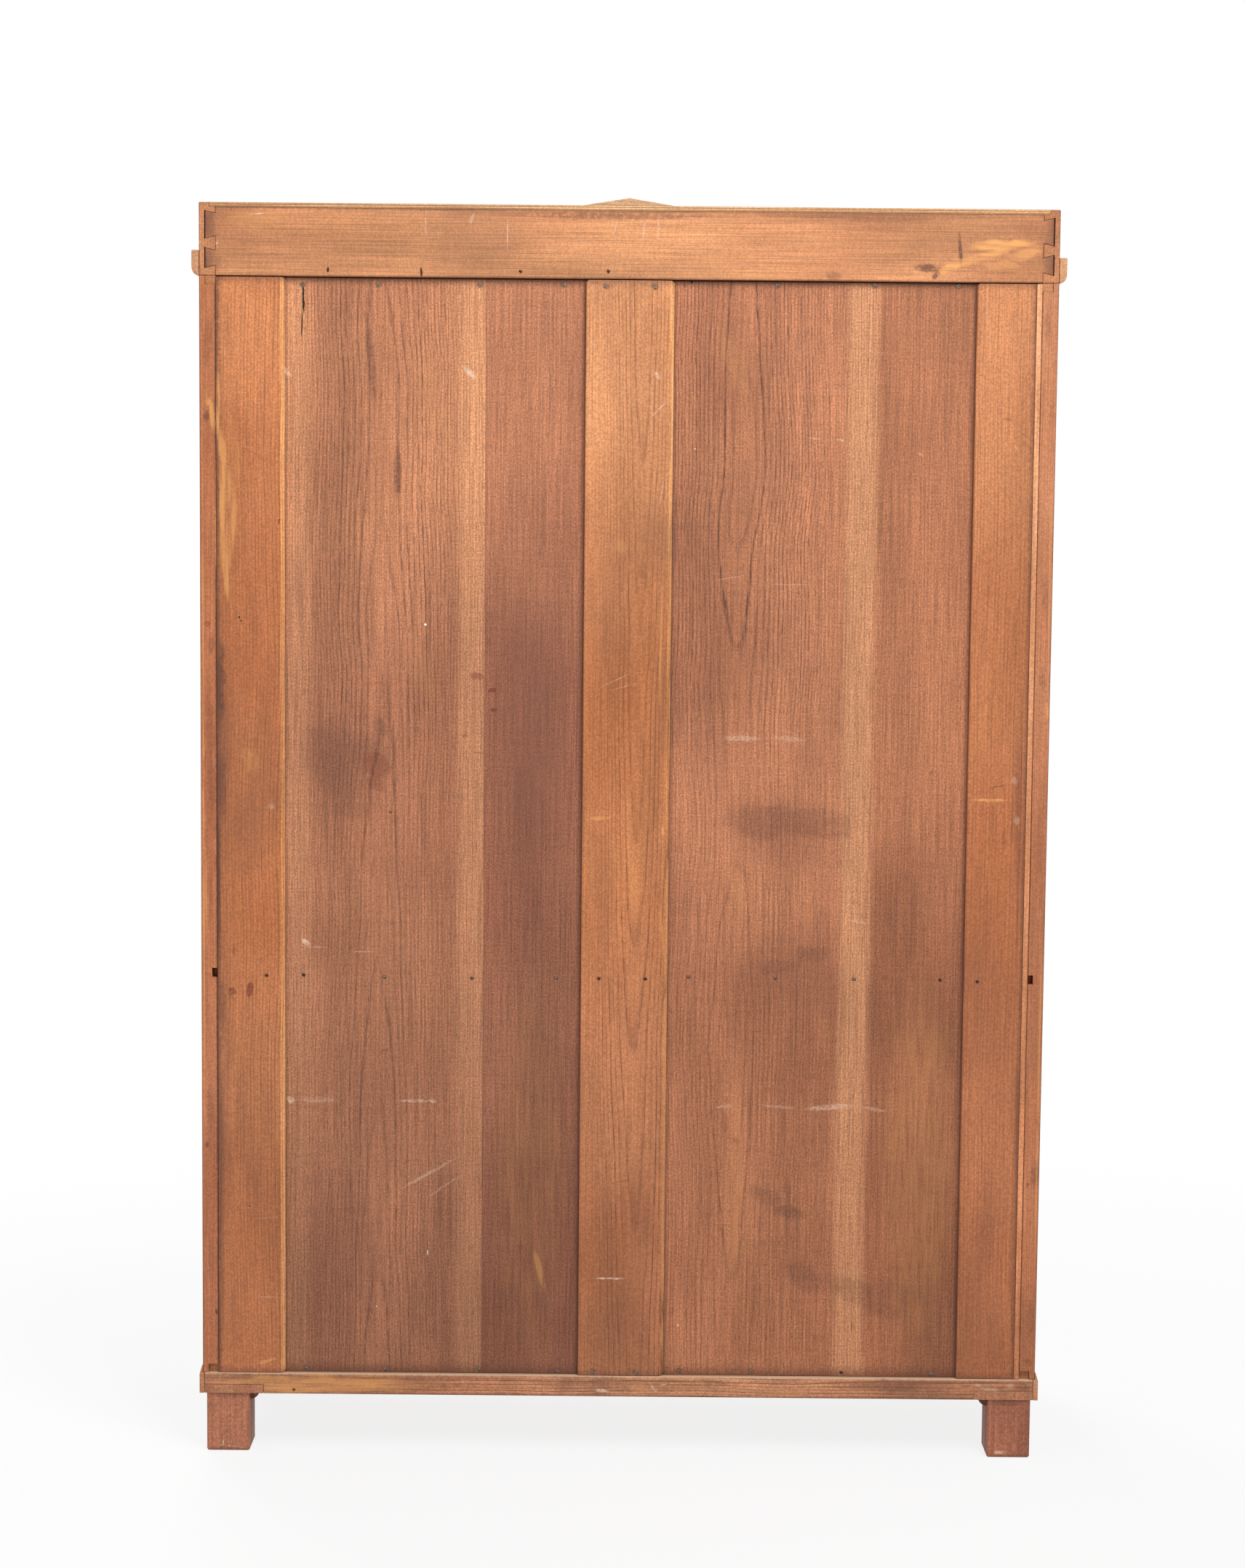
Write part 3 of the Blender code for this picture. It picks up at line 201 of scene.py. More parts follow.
# settings that every wooden finish starts from; lengths in metres
# grain: which axes run across the rings, through the board and along the fibres
# bands: low side and its softness, high side and its softness, amount, colour, sway
# edges: axis, place, reach, amount and, where it isn't the grime's, a colour; dirt in the joints, painted
# shade in the recesses, and a pale colour is a painted highlight
# fades: height where it starts, height where it is full, shift of the tone; a fade up to the top is painted
# light
plainWood = {
    "grain": "XYZ", "face": 0.207,
    "centre": 0.0, "pith": 0.050, "gap": 0.0034,
    "bow": 0.012, "waver": 0.002, "drift": 0.016, "driftWaves": 1.6, "taper": 0.0, "taperAt": 0.9,
    "swell": 0.0, "swellLength": 0.7, "swellAt": 1.0,
    "porous": False, "lineWidth": 0.42, "line": 0.55, "dash": 0.45, "ripple": 0.35, "fleck": 0.0,
    "bold": 0.060, "beyond": 1.0, "core": 1.0, "calm": None, "poreWidth": 0.0021,
    "pale": (0.52, 0.195, 0.082), "deep": (0.44, 0.150, 0.060), "lineTone": (0.21, 0.066, 0.028),
    "fibre": 0.20, "grit": 0.19, "hatch": 0.025, "cloud": 0.08,
    "smoke": 0.25, "smokeTone": (0.20, 0.085, 0.050),
    "fades": [], "edges": [], "bands": [], "leaf": None, "wear": {}, "heads": (0, 0),
    "polish": None, "layers": None, "dust": 0.0, "dustTone": (0.50, 0.36, 0.23),
    "rough": 0.62, "shine": 0.25, "coat": 0.0, "coatRough": 0.22, "relief": 0.00022, "bump": 0.6,
}
# what is the same in every ring
ringLook = {
    "rise": 0.25, "hold": 0.40,      # parts of a pore line's width
    "leastRate": 35,                 # rings in a metre added to the count, so that no pore line vanishes
    "late": 0.93, "end": 0.94,       # parts of a ring: where late wood is darkest and where it ends
    "spread": 0.60, "least": 0.50,   # how strong the lines are from ring to ring
    "tip": 0.016,                    # half the width of an arch's tip
    "driftAcross": 2.0,              # waves per metre of the pith's drift, across the board
    "groove": -0.5,                  # how a line lies in the relief
}
# what is the same on every board's surface
surfaceLook = {
    "paleFibre": 0.6,                # how far fibres go pale, as a part of how far they go dark
    "shownLine": 0.6,                # strength of the rings under polish
    "roughSpan": (0.3, 0.7), "roughShift": (-0.06, 0.08),
    "faceUp": (0.75, 0.98),          # upward part of the normal from which dust lies
    "thinDust": 0.55,
}
# noises of the wood: the coordinates it lies on, waves per metre on each axis, detail, and the span
# of its values that a smooth step runs over
woodNoise = {
    "slow": ("turned", (2.2, 2.2, 2.4), 2.0, (0.36, 0.64)),
    "quick": ("turned", (7, 7, 5.5), 1.0, None),
    "ripple": ("turned", (45, 45, 5), 2.0, None),
    "pores": ("turned", (500, 500, 42), 1.0, (0.42, 0.58)),
    "fibre": ("turned", (430, 430, 7), 3.0, (0.25, 0.75)),
    "cloud": ("turned", (11, 11, 2.6), 4.0, (0.32, 0.68)),
    "grit": ("place", (380, 380, 380), 3.0, (0.30, 0.70)),
    "hatch": ("turned", (38, 38, 430), 2.0, (0.30, 0.70)),
    "fleck": ("turned", (850, 850, 55), 1.0, (0.56, 0.70)),
    "smoke": ("place", (7.0, 7.0, 4.0), 4.0, (0.50, 0.78)),
    "worn": ("place", (210, 210, 210), 3.0, (0.32, 0.60)),
    "bare": ("turned", (170, 170, 16), 3.0, (0.32, 0.60)),
    "streaks": ("turned", (24, 24, 1.6), 4.0, (0.34, 0.66)),
    "dust": ("place", (30, 30, 30), 4.0, (0.30, 0.62)),
}


def noise(tree, at, kind, output=0):
    where, waves, detail, _ = woodNoise[kind]
    return speckle(tree, at[where], waves, detail).outputs[output]


# a noise's value as a smooth step over its span
def stepped(tree, kind, value, atLow=0.0, atHigh=1.0):
    return ramp(tree, value, *woodNoise[kind][3], atLow, atHigh)


# where a point lies in the board: the object's axes, the grain's axes and two slow noises
def boardAxes(tree, look):
    place = put(tree, "ShaderNodeTexCoord").outputs["Object"]
    at = dict(zip("XYZ", put(tree, "ShaderNodeSeparateXYZ", {0: place}).outputs))
    across, through, along = (at[letter] for letter in look["grain"])
    turned = put(tree, "ShaderNodeCombineXYZ", {0: across, 1: through, 2: along}).outputs[0]
    at.update(place=place, turned=turned, across=across, through=through, along=along)
    slow = put(tree, "ShaderNodeSeparateColor", {0: noise(tree, at, "slow", 1)})
    at.update(sway=calc(tree, "SUBTRACT", slow.outputs[0], 0.5), slow=slow.outputs[2])
    if look["leaf"]:  # a second leaf of veneer beside the first, with rings of its own
        at["leafStep"] = calc(tree, "LESS_THAN", across, look["leaf"]["edge"])
    return at


# growth rings: r = sqrt(u^2 + d^2) / gap, where u is the distance across the board from the rings'
# middle and d the distance down to the pith, which tapers, drifts and swells along the board, so
# that the face shows straight lines at its sides and arches and eyes in its middle
def ringPlace(tree, look, at):
    centre, pith, leaf = look["centre"], look["pith"], look["leaf"]
    if leaf:
        centre = calc(tree, "MULTIPLY_ADD", at["leafStep"], leaf["centre"] - centre, centre)
        pith = calc(tree, "MULTIPLY_ADD", at["leafStep"], leaf["pith"] - pith, pith)
    u = calc(tree, "SUBTRACT", at["across"], centre)
    u = calc(tree, "MULTIPLY_ADD", at["sway"], look["bow"] * 2, u)
    quick = calc(tree, "SUBTRACT", noise(tree, at, "quick"), 0.5)
    u = calc(tree, "MULTIPLY_ADD", quick, look["waver"] * 2, u)
    driftWaves = (ringLook["driftAcross"], ringLook["driftAcross"], look["driftWaves"])
    lift = speckle(tree, at["turned"], driftWaves, 1.0).outputs[0]
    d = calc(tree, "MULTIPLY_ADD", calc(tree, "SUBTRACT", lift, 0.5), look["drift"] * 2, pith)
    d = calc(tree, "ADD", d, calc(tree, "SUBTRACT", at["through"], look["face"]))
    if look["taper"]:
        onward = calc(tree, "SUBTRACT", at["along"], look["taperAt"])
        d = calc(tree, "MULTIPLY_ADD", onward, look["taper"], d)
    if look["swell"]:
        onward = calc(tree, "SUBTRACT", at["along"], look["swellAt"])
        wave = calc(tree, "COSINE", calc(tree, "MULTIPLY", onward, 2 * math.pi / look["swellLength"]))
        d = calc(tree, "MULTIPLY_ADD", wave, look["swell"], d)
    far = put(tree, "ShaderNodeCombineXYZ", {0: u, 1: d, 2: 0.0}).outputs[0]
    return u, put(tree, "ShaderNodeVectorMath", {0: far}, operation="LENGTH").outputs[1]


# how strong the dark line of a ring is at a point
def ringLine(tree, look, at, ripple):
    u, fromPith = ringPlace(tree, look, at)
    r = calc(tree, "MULTIPLY_ADD", ripple, look["ripple"], calc(tree, "DIVIDE", fromPith, look["gap"]))
    part = calc(tree, "FRACT", r)
    out = calc(tree, "ABSOLUTE", u)
    width = look["lineWidth"]
    if look["porous"]:  # open pores at the start of each ring, as wide however far the rings are apart:
        # their share of a ring is their width times the rings in a metre, |u| / (gap R)
        rate = calc(tree, "DIVIDE", out, calc(tree, "MULTIPLY", fromPith, look["gap"]))
        share = calc(tree, "MULTIPLY", calc(tree, "ADD", rate, ringLook["leastRate"]), look["poreWidth"])
        share = calc(tree, "MINIMUM", share, width)
        rise = ramp(tree, part, 0.0, calc(tree, "MULTIPLY", share, ringLook["rise"]))
        fall = ramp(tree, part, calc(tree, "MULTIPLY", share, ringLook["hold"]), share, 1, 0)
    else:               # late wood: a slow rise to the end of the ring and a quick fall
        rise = ramp(tree, part, 1 - width, ringLook["late"])
        fall = ramp(tree, part, ringLook["end"], 1, 1, 0)
    line = calc(tree, "MULTIPLY", rise, fall)
    ringTone = put(tree, "ShaderNodeTexWhiteNoise", {"W": calc(tree, "FLOOR", r)}, noise_dimensions="1D")
    strength = calc(tree, "MULTIPLY_ADD", ringTone.outputs[0], ringLook["spread"], ringLook["least"])
    shares = [strength, stepped(tree, "pores", noise(tree, at, "pores"), 1 - look["dash"], 1)]
    if look["core"] < 1:    # an arch is fainter at its tip
        shares.append(ramp(tree, out, 0.0, ringLook["tip"], look["core"], 1))
    if look["leaf"]:
        shares.append(calc(tree, "MULTIPLY_ADD", at["leafStep"], look["leaf"]["line"] - 1, 1.0))
    if look["beyond"] < 1:  # the lines are bold round the rings' middle and fine further out
        shares.append(ramp(tree, out, look["bold"], look["bold"] * 2, 1, look["beyond"]))
    if look["calm"]:        # and fainter along part of the board
        start, full, left = look["calm"]
        shares.append(ramp(tree, at["along"], start, full, 1, left))
    for share in shares:
        line = calc(tree, "MULTIPLY", line, share)
    return line


# the wood's own tone: two colours in slow patches, clouds, the second leaf and bands of sapwood
def woodTone(tree, look, at):
    colour = tinge(tree, stepped(tree, "slow", at["slow"]), look["pale"], look["deep"])
    cloud = stepped(tree, "cloud", noise(tree, at, "cloud"), 1 - look["cloud"], 1 + look["cloud"])
    colour = tinge(tree, 1.0, colour, cloud, "MULTIPLY")
    if look["leaf"]:
        colour = tinge(tree, at["leafStep"], colour, look["leaf"]["shade"], "MULTIPLY")
    for low, softLow, high, softHigh, amount, tone, sway in look["bands"]:
        wobble = calc(tree, "MULTIPLY_ADD", at["sway"], sway, at["across"])
        start = ramp(tree, wobble, low - softLow, low + softLow)
        end = ramp(tree, wobble, high - softHigh, high + softHigh, 1, 0)
        share = calc(tree, "MULTIPLY", calc(tree, "MULTIPLY", start, end), amount)
        colour = tinge(tree, share, colour, tone)
    return colour


# light and dark of the fibres, of grit and of faint saw and plane marks
def fineTone(tree, look, at, fibre):
    grey = stepped(tree, "fibre", fibre, 1 - look["fibre"], 1 + look["fibre"] * surfaceLook["paleFibre"])
    for kind in ("grit", "hatch"):
        fine = stepped(tree, kind, noise(tree, at, kind), 1 - look[kind], 1 + look[kind])
        grey = calc(tree, "MULTIPLY", grey, fine)
    return grey


# painted light and dirt: a fade up to the top is painted light, lighter and paler where the lamp falls
# strongest, and a fade down to the foot shifts the tone there, darker on some boards and greyer on others;
# along the edges, dirt in the joints, painted shade in the recesses and painted highlights
def paintedLightAndDirt(tree, look, at, worn, colour):
    level = calc(tree, "MULTIPLY_ADD", at["sway"], 0.5, at["Z"])
    for start, full, shift in look["fades"]:
        colour = tinge(tree, ramp(tree, level, start, full), colour, shift, "MULTIPLY")
    for axis, place, reach, amount, *tone in look["edges"]:
        away = calc(tree, "ABSOLUTE", calc(tree, "SUBTRACT", at[axis], place))
        away = calc(tree, "MULTIPLY_ADD", calc(tree, "SUBTRACT", worn, 0.5), reach, away)
        dirtShadeAndHighlight = ramp(tree, away, 0.0, reach, amount, 0)
        colour = tinge(tree, dirtShadeAndHighlight, colour, tone[0] if tone else wearLook["grime"]["colour"])
    return colour


# the edge of a board glued up from thin sheets
def sheetEdges(tree, layers, at, ripple, colour):
    level = calc(tree, "DIVIDE", calc(tree, "SUBTRACT", at["Z"], layers["low"]), layers["thick"])
    sheet = calc(tree, "PINGPONG", calc(tree, "MULTIPLY_ADD", ripple, layers["ripple"], level), 1.0)
    amount = calc(tree, "MULTIPLY", ramp(tree, sheet, *layers["span"]), layers["amount"])
    return tinge(tree, amount, colour, layers["colour"])


# the shown faces of a board are stained and polished, the rest is left dry
def polishOver(tree, polish, at, grey, line, colour, rough):
    onFace = None
    for axis, start, full in polish["faces"]:
        side = at[axis] if start < 0 else calc(tree, "ABSOLUTE", at[axis])
        here = ramp(tree, side, start, full)
        onFace = here if onFace is None else calc(tree, "MAXIMUM", onFace, here)
    streaks = stepped(tree, "streaks", noise(tree, at, "streaks"))
    shown = tinge(tree, streaks, polish["pale"], polish["deep"])
    shown = tinge(tree, 1.0, shown, grey, "MULTIPLY")
    shown = tinge(tree, calc(tree, "MULTIPLY", line, surfaceLook["shownLine"]), shown, polish["lineTone"])
    values = {0: onFace, 2: rough, 3: polish["rough"]}
    rough = put(tree, "ShaderNodeMix", values, data_type="FLOAT").outputs[0]
    return tinge(tree, onFace, colour, shown), rough


# dust on what faces up
def dustOver(tree, look, at, colour):
    normal = put(tree, "ShaderNodeNewGeometry").outputs["Normal"]
    up = put(tree, "ShaderNodeSeparateXYZ", {0: normal}).outputs[2]
    lies = ramp(tree, up, *surfaceLook["faceUp"], 0, look["dust"])
    thin = stepped(tree, "dust", noise(tree, at, "dust"), surfaceLook["thinDust"], 1)
    return tinge(tree, calc(tree, "MULTIPLY", lies, thin), colour, look["dustTone"])


# marks of wear, one kind over the other; a hole goes into the relief too
def wearOver(tree, look, at, worn, colour, height):
    shakes = [at["place"]] + [shaken(tree, at["place"], *shake) for shake in wearLook["shakes"]]
    streak = noise(tree, at, "bare")
    for kind in wearLook["order"]:
        tone = wearLook[kind]
        rows = look["wear"].get(kind, []) + headRows(kind, *look["heads"])
        if not rows:
            continue
        amount = wearAmount(tree, shakes, rows, look["face"], tone)
        if tone["patchy"]:
            patch = stepped(tree, "worn", streak if kind == "bare" else worn, 1 - tone["patchy"], 1)
            amount = calc(tree, "MULTIPLY", amount, patch)
        colour = tinge(tree, amount, colour, tone["colour"])
        if kind == "hole":
            height = calc(tree, "MULTIPLY_ADD", amount, wearLook["sunk"], height)
    return colour, height


def newFinish(name):
    finish = bpy.data.materials.new(name)
    finish.use_nodes = True
    return finish, finish.node_tree, finish.node_tree.nodes["Principled BSDF"]


def woodFinish(name, **own):
    look = {**plainWood, **own}
    finish, tree, shader = newFinish(name)
    at = boardAxes(tree, look)
    fibre, ripple, worn = (noise(tree, at, kind) for kind in ("fibre", "ripple", "worn"))
    line = ringLine(tree, look, at, ripple)
    grey = fineTone(tree, look, at, fibre)
    colour = tinge(tree, 1.0, woodTone(tree, look, at), grey, "MULTIPLY")
    colour = tinge(tree, calc(tree, "MULTIPLY", line, look["line"]), colour, look["lineTone"])
    if look["fleck"]:  # short open pores all over
        flecks = stepped(tree, "fleck", noise(tree, at, "fleck"), 0, look["fleck"])
        colour = tinge(tree, flecks, colour, look["lineTone"])
    smoke = stepped(tree, "smoke", noise(tree, at, "smoke"), 0, look["smoke"])
    colour = tinge(tree, smoke, colour, look["smokeTone"])
    colour = paintedLightAndDirt(tree, look, at, worn, colour)
    low, high = surfaceLook["roughShift"]
    rough = ramp(tree, fibre, *surfaceLook["roughSpan"], look["rough"] + low, look["rough"] + high)
    height = calc(tree, "MULTIPLY_ADD", line, ringLook["groove"], fibre)
    if look["layers"]:
        colour = sheetEdges(tree, look["layers"], at, ripple, colour)
    if look["polish"]:
        colour, rough = polishOver(tree, look["polish"], at, grey, line, colour, rough)
    if look["dust"]:
        colour = dustOver(tree, look, at, colour)
    if look["wear"]:
        colour, height = wearOver(tree, look, at, worn, colour, height)
    bump = {"Height": height, "Strength": look["bump"], "Distance": look["relief"]}
    tree.links.new(put(tree, "ShaderNodeBump", bump).outputs[0], shader.inputs["Normal"])
    tree.links.new(colour, shader.inputs["Base Color"])
    tree.links.new(rough, shader.inputs["Roughness"])
    shader.inputs["Specular IOR Level"].default_value = look["shine"]
    if look["coat"]:
        shader.inputs["Coat Weight"].default_value = look["coat"]
        shader.inputs["Coat Roughness"].default_value = look["coatRough"]
    return finish


def dress(finish, *names):
    for name in names:
        nodes[name].data.materials.clear()
        nodes[name].data.materials.append(finish)


sides = {"left": -1, "right": 1}   # and the sign of X there
rubbedArrisAndHighlight = (0.76, 0.335, 0.120)   # where the stain has rubbed off the chamfered arris, and a painted highlight where the chamfer faces the lamp
sapTone = (0.67, 0.310, 0.150)

# the back's two veneered panels: open pores, and dirt with painted shade along the top and foot
panelLook = {
    "face": 0.200, "porous": True, "lineWidth": 0.52, "poreWidth": 0.0036, "line": 0.92, "dash": 0.66,
    "ripple": 0.80, "fleck": 0.40, "beyond": 0.38, "hatch": 0.05, "grit": 0.25, "cloud": 0.14,
    "fibre": 0.30, "rough": 0.64,
}
# dirt with painted shade along the panels' top, under the crown, and along their foot, above the base
panelEnds = [("Z", 1.680, 0.014, 0.65), ("Z", 0.117, 0.020, 0.60)]
# photo-left panel: two leaves of veneer, a pale edge, and a strip of sapwood at the joint
rightPanelLook = {
    **panelLook, "centre": 0.345, "pith": 0.066, "gap": 0.0037, "taper": 0.016, "taperAt": 0.95,
    "bow": 0.016, "waver": 0.007, "drift": 0.005, "driftWaves": 2.6,
    "bold": 0.060, "core": 0.35, "calm": (1.10, 0.85, 0.60), "smoke": 0.16,
    "pale": (0.56, 0.234, 0.117), "deep": (0.42, 0.166, 0.086), "lineTone": (0.110, 0.042, 0.029),
    "leaf": {"edge": 0.199, "centre": -0.020, "pith": 0.110, "shade": (0.75, 0.71, 0.75), "line": 0.35},
    "bands": [
        (0.446, 0.010, 0.60, 0.001, 0.36, sapTone, 0.0),
        (0.199, 0.0003, 0.236, 0.008, 0.50, sapTone, 0.0),
    ],
    # painted light: lighter and paler up to the top, where the lamp falls strongest; darker towards the
    # foot
    "fades": [(0.95, 0.35, (0.72, 0.71, 0.75)), (1.15, 1.5, (1.19, 1.20, 1.15))],
    # dirt with painted shade along the stiles; the fine dark line at 0.199 is the joint of the two leaves
    "edges": [
        ("X", 0.4812, 0.006, 0.45), ("X", 0.0595, 0.011, 0.60), ("X", 0.199, 0.0016, 0.40), *panelEnds,
    ],
    "heads": (60, 481), "wear": {
        "haze": [
            (130, 1080, 330, 80, 90, 55), (100, 1010, 260, 50, 90, 25), (170, 1230, 120, 40, 85, 20),
            (405, 1010, 120, 90, 70, 20), (330, 760, 240, 70, 90, 20), (390, 330, 200, 60, 85, 15),
        ],
        "scuff": [
            (480, 1550, 13, 4.5, 45, 75), (222, 1550, 15, 5, 45, 95), (452, 743, 9, 5, 40, 85),
            (436, 736, 20, 1, 0, 50), (370, 730, 20, 1.5, 0, 35), (474, 515, 7, 6, 20, 75),
            (435, 515, 35, 5, 0, 25), (295, 515, 30, 3, 0, 45), (270, 515, 7, 3.5, 5, 60),
            (275, 410, 60, 3, -30, 35), (255, 390, 40, 2, -35, 25),
        ],
        "white": [
            (283, 1197, 2, 2, 0, 100), (350, 214, 1, 1, 0, 85), (277, 294, 5, 1, 90, 60),
        ],
        "grime": [
            (412, 1010, 56, 60, 0, 31), (400, 970, 48, 32, 15, 28), (365, 1005, 48, 46, 70, 28),
            (345, 1050, 20, 13, 65, 35), (390, 935, 32, 16, 15, 24), (340, 587, 9, 3, -20, 50),
            (360, 208, 8, 5, 30, 40), (360, 1565, 80, 7, 85, 50), (323, 1410, 44, 7, 90, 65),
            (120, 925, 90, 35, 60, 10), (405, 1430, 70, 23, -85, 10),
        ],
        "red": [
            (350, 995, 25, 19, 40, 35), (353, 970, 17, 9, 10, 30), (210, 1125, 12, 6, 5, 55),
            (188, 1105, 7, 4, -5, 85), (186, 1077, 6, 3.5, 0, 85), (227, 1040, 6, 2, 5, 50),
            (207, 1016, 9, 1, 5, 50),
        ],
        "bare": [
            (116, 270, 44, 7, 75, 35), (130, 400, 330, 70, 90, 12), (280, 1525, 90, 23, 70, 12),
            (290, 1140, 70, 19, 75, 12),
        ],
        "hole": [
            (455, 1650, 25, 1.7, 90, 100), (457, 1614, 20, 1.3, -88, 90), (332, 930, 3, 2.5, 20, 60),
        ],
    },
}
# photo-right panel: one wide leaf with eyes in its grain, then sapwood and straight grain
leftPanelLook = {
    **panelLook, "centre": -0.160, "pith": 0.0694, "gap": 0.0038,
    "bow": 0.020, "waver": 0.008, "drift": 0.004, "driftWaves": 2.2,
    "swell": -0.004, "swellLength": 0.90, "swellAt": 1.475,
    "bold": 0.075, "core": 0.45, "calm": (1.20, 0.95, 0.55), "smoke": 0.20,
    "pale": (0.53, 0.210, 0.103), "deep": (0.40, 0.152, 0.076), "lineTone": (0.110, 0.040, 0.027),
    "leaf": {"edge": -0.352, "centre": -0.700, "pith": 0.140, "shade": (0.89, 0.87, 0.85), "line": 0.7},
    "bands": [(-0.350, 0.010, -0.309, 0.009, 0.80, sapTone, 0.010)],
    "fades": [(0.95, 0.35, (0.92, 0.91, 0.91))],
    # dirt with painted shade along the stiles
    "edges": [("X", -0.0635, 0.007, 0.50), ("X", -0.4862, 0.010, 0.65), *panelEnds],
    "heads": (-486, -64), "wear": {
        "haze": [
            (-215, 905, 150, 80, 20, 35), (-130, 960, 220, 45, 90, 20), (-240, 700, 130, 70, 10, 20),
            (-290, 330, 150, 60, 30, 10), (-120, 1130, 240, 40, 90, 14),
        ],
        "scuff": [
            (-165, 1040, 34, 5, 0, 40), (-170, 1040, 15, 4, 25, 35), (-232, 1040, 27, 5, 5, 30),
            (-147, 511, 17, 3, -5, 30), (-298, 511, 43, 5, -5, 50), (-361, 509, 24, 3, 10, 30),
            (-226, 511, 32, 3, 5, 25), (-263, 1463, 11, 2, 5, 40), (-299, 1461, 7, 2.5, 10, 60),
            (-412, 1442, 6, 2, 35, 50), (-148, 1267, 26, 1, -10, 40), (-230, 1258, 37, 1, 0, 30),
            (-333, 780, 25, 2, 10, 30),
        ],
        "white": [
            (-95, 1447, 1.5, 1.5, 0, 50), (-85, 190, 2, 2, 0, 45),
        ],
        "grime": [
            (-235, 922, 118, 30, 0, 35), (-195, 910, 46, 22, 0, 35), (-290, 915, 46, 22, 0, 31),
            (-273, 737, 34, 18, -10, 31), (-223, 716, 34, 15, -5, 28), (-238, 354, 34, 14, 5, 46),
            (-210, 378, 32, 18, 30, 31), (-270, 265, 44, 24, 35, 35), (-350, 237, 78, 27, 25, 35),
            (-402, 241, 56, 22, 15, 31), (-396, 276, 23, 5, 0, 30), (-239, 398, 25, 6, 85, 25),
            (-141, 1553, 8, 4, 75, 35), (-397, 1076, 18, 1, 5, 35),
        ],
        "red": [
            (-165, 462, 6, 5, 40, 50),
        ],
        "bare": [
            (-165, 395, 240, 12, 90, 15), (-425, 430, 330, 64, 90, 18), (-146, 1570, 70, 25, 70, 14),
            (-168, 827, 43, 17, 75, 14),
        ],
        "hole": [
            (-87, 1679, 3.5, 2.5, 90, 95), (-332, 527, 4, 0.7, 90, 60), (-335, 192, 8, 0.7, 90, 60),
        ],
    },
}
dress(woodFinish("veneerTwoLeaves", **rightPanelLook), "back_right_panel")
dress(woodFinish("veneerWithEyes", **leftPanelLook), "back_left_panel")

# the back's stiles: softwood with narrow rings, paler along the planed arris, rubbed bare and painted with
# a highlight there
# dirt with painted shade at the stiles' ends, under the crown and above the base
stileEnds = [("Z", 1.680, 0.012, 0.50), ("Z", 0.117, 0.012, 0.45)]
rightStileLook = {
    "centre": 0.440, "pith": 0.045, "gap": 0.0042, "line": 0.85, "dash": 0.55, "cloud": 0.18,
    "bold": 0.080, "beyond": 0.25, "smoke": 0.38,
    "pale": (0.50, 0.177, 0.069), "deep": (0.40, 0.130, 0.048),
    # painted light: lighter and paler up to the top, where the lamp falls strongest; paler and greyer
    # towards the foot
    "fades": [(1.15, 1.50, (1.23, 1.32, 1.36)), (0.80, 0.45, (1.10, 1.18, 1.28))],
    # a dark band of dirt with painted shade in the groove beside the side
    "edges": [("X", 0.5767, 0.008, 0.75), *stileEnds],
    "bands": [(0.4800, 0.001, 0.4868, 0.0008, 0.85, rubbedArrisAndHighlight, 0.0)],
    "heads": (481, 577), "wear": {
        "haze": [
            (570, 1010, 330, 17, 90, 50), (568, 560, 340, 16, 90, 40), (545, 900, 160, 30, 85, 20),
            (530, 430, 150, 34, 80, 20), (556, 190, 110, 26, 90, 25), (520, 1190, 150, 20, 90, 14),
        ],
        "bare": [
            (574, 1500, 64, 4.5, 90, 75), (568, 1440, 44, 7, 85, 65), (562, 1350, 92, 15, 90, 50),
            (568, 1375, 96, 6, 90, 65), (563, 1310, 60, 11, 90, 45), (564, 1270, 54, 6, 85, 60),
            (553, 1340, 54, 6, 90, 50), (552, 1430, 70, 10, 85, 20), (530, 1443, 14, 1, 10, 45),
            (530, 1000, 27, 14, 50, 30), (507, 134, 20, 3, -15, 50),
        ],
        "scuff": [
            (500, 938, 6, 6, 0, 30), (508, 344, 22, 1, -5, 35), (507, 228, 24, 1, 0, 35),
        ],
        # the long rows at x 570 to 575 darken the band beside the side: dirt with painted shade in the
        # groove
        "grime": [
            (572, 1110, 74, 9, 90, 75), (571, 965, 60, 10, 90, 50), (575, 825, 124, 3, 90, 85),
            (570, 655, 47, 7, 90, 40), (558, 670, 11, 5, 80, 40), (554, 730, 10, 3, -85, 40),
            (563, 1420, 13, 1, 10, 75), (560, 1600, 63, 9, 85, 18), (571, 365, 240, 4, 90, 40),
        ],
        "red": [
            (531, 675, 13, 6, -80, 80), (555, 673, 7, 5, 45, 60),
        ],
        "hole": [
            (545, 1205, 2, 1.5, 85, 90), (542, 1200, 2, 1.5, 75, 80), (532, 361, 1.5, 1.5, 0, 75),
            (489, 1340, 5, 1.5, -85, 60),
        ],
    },
}
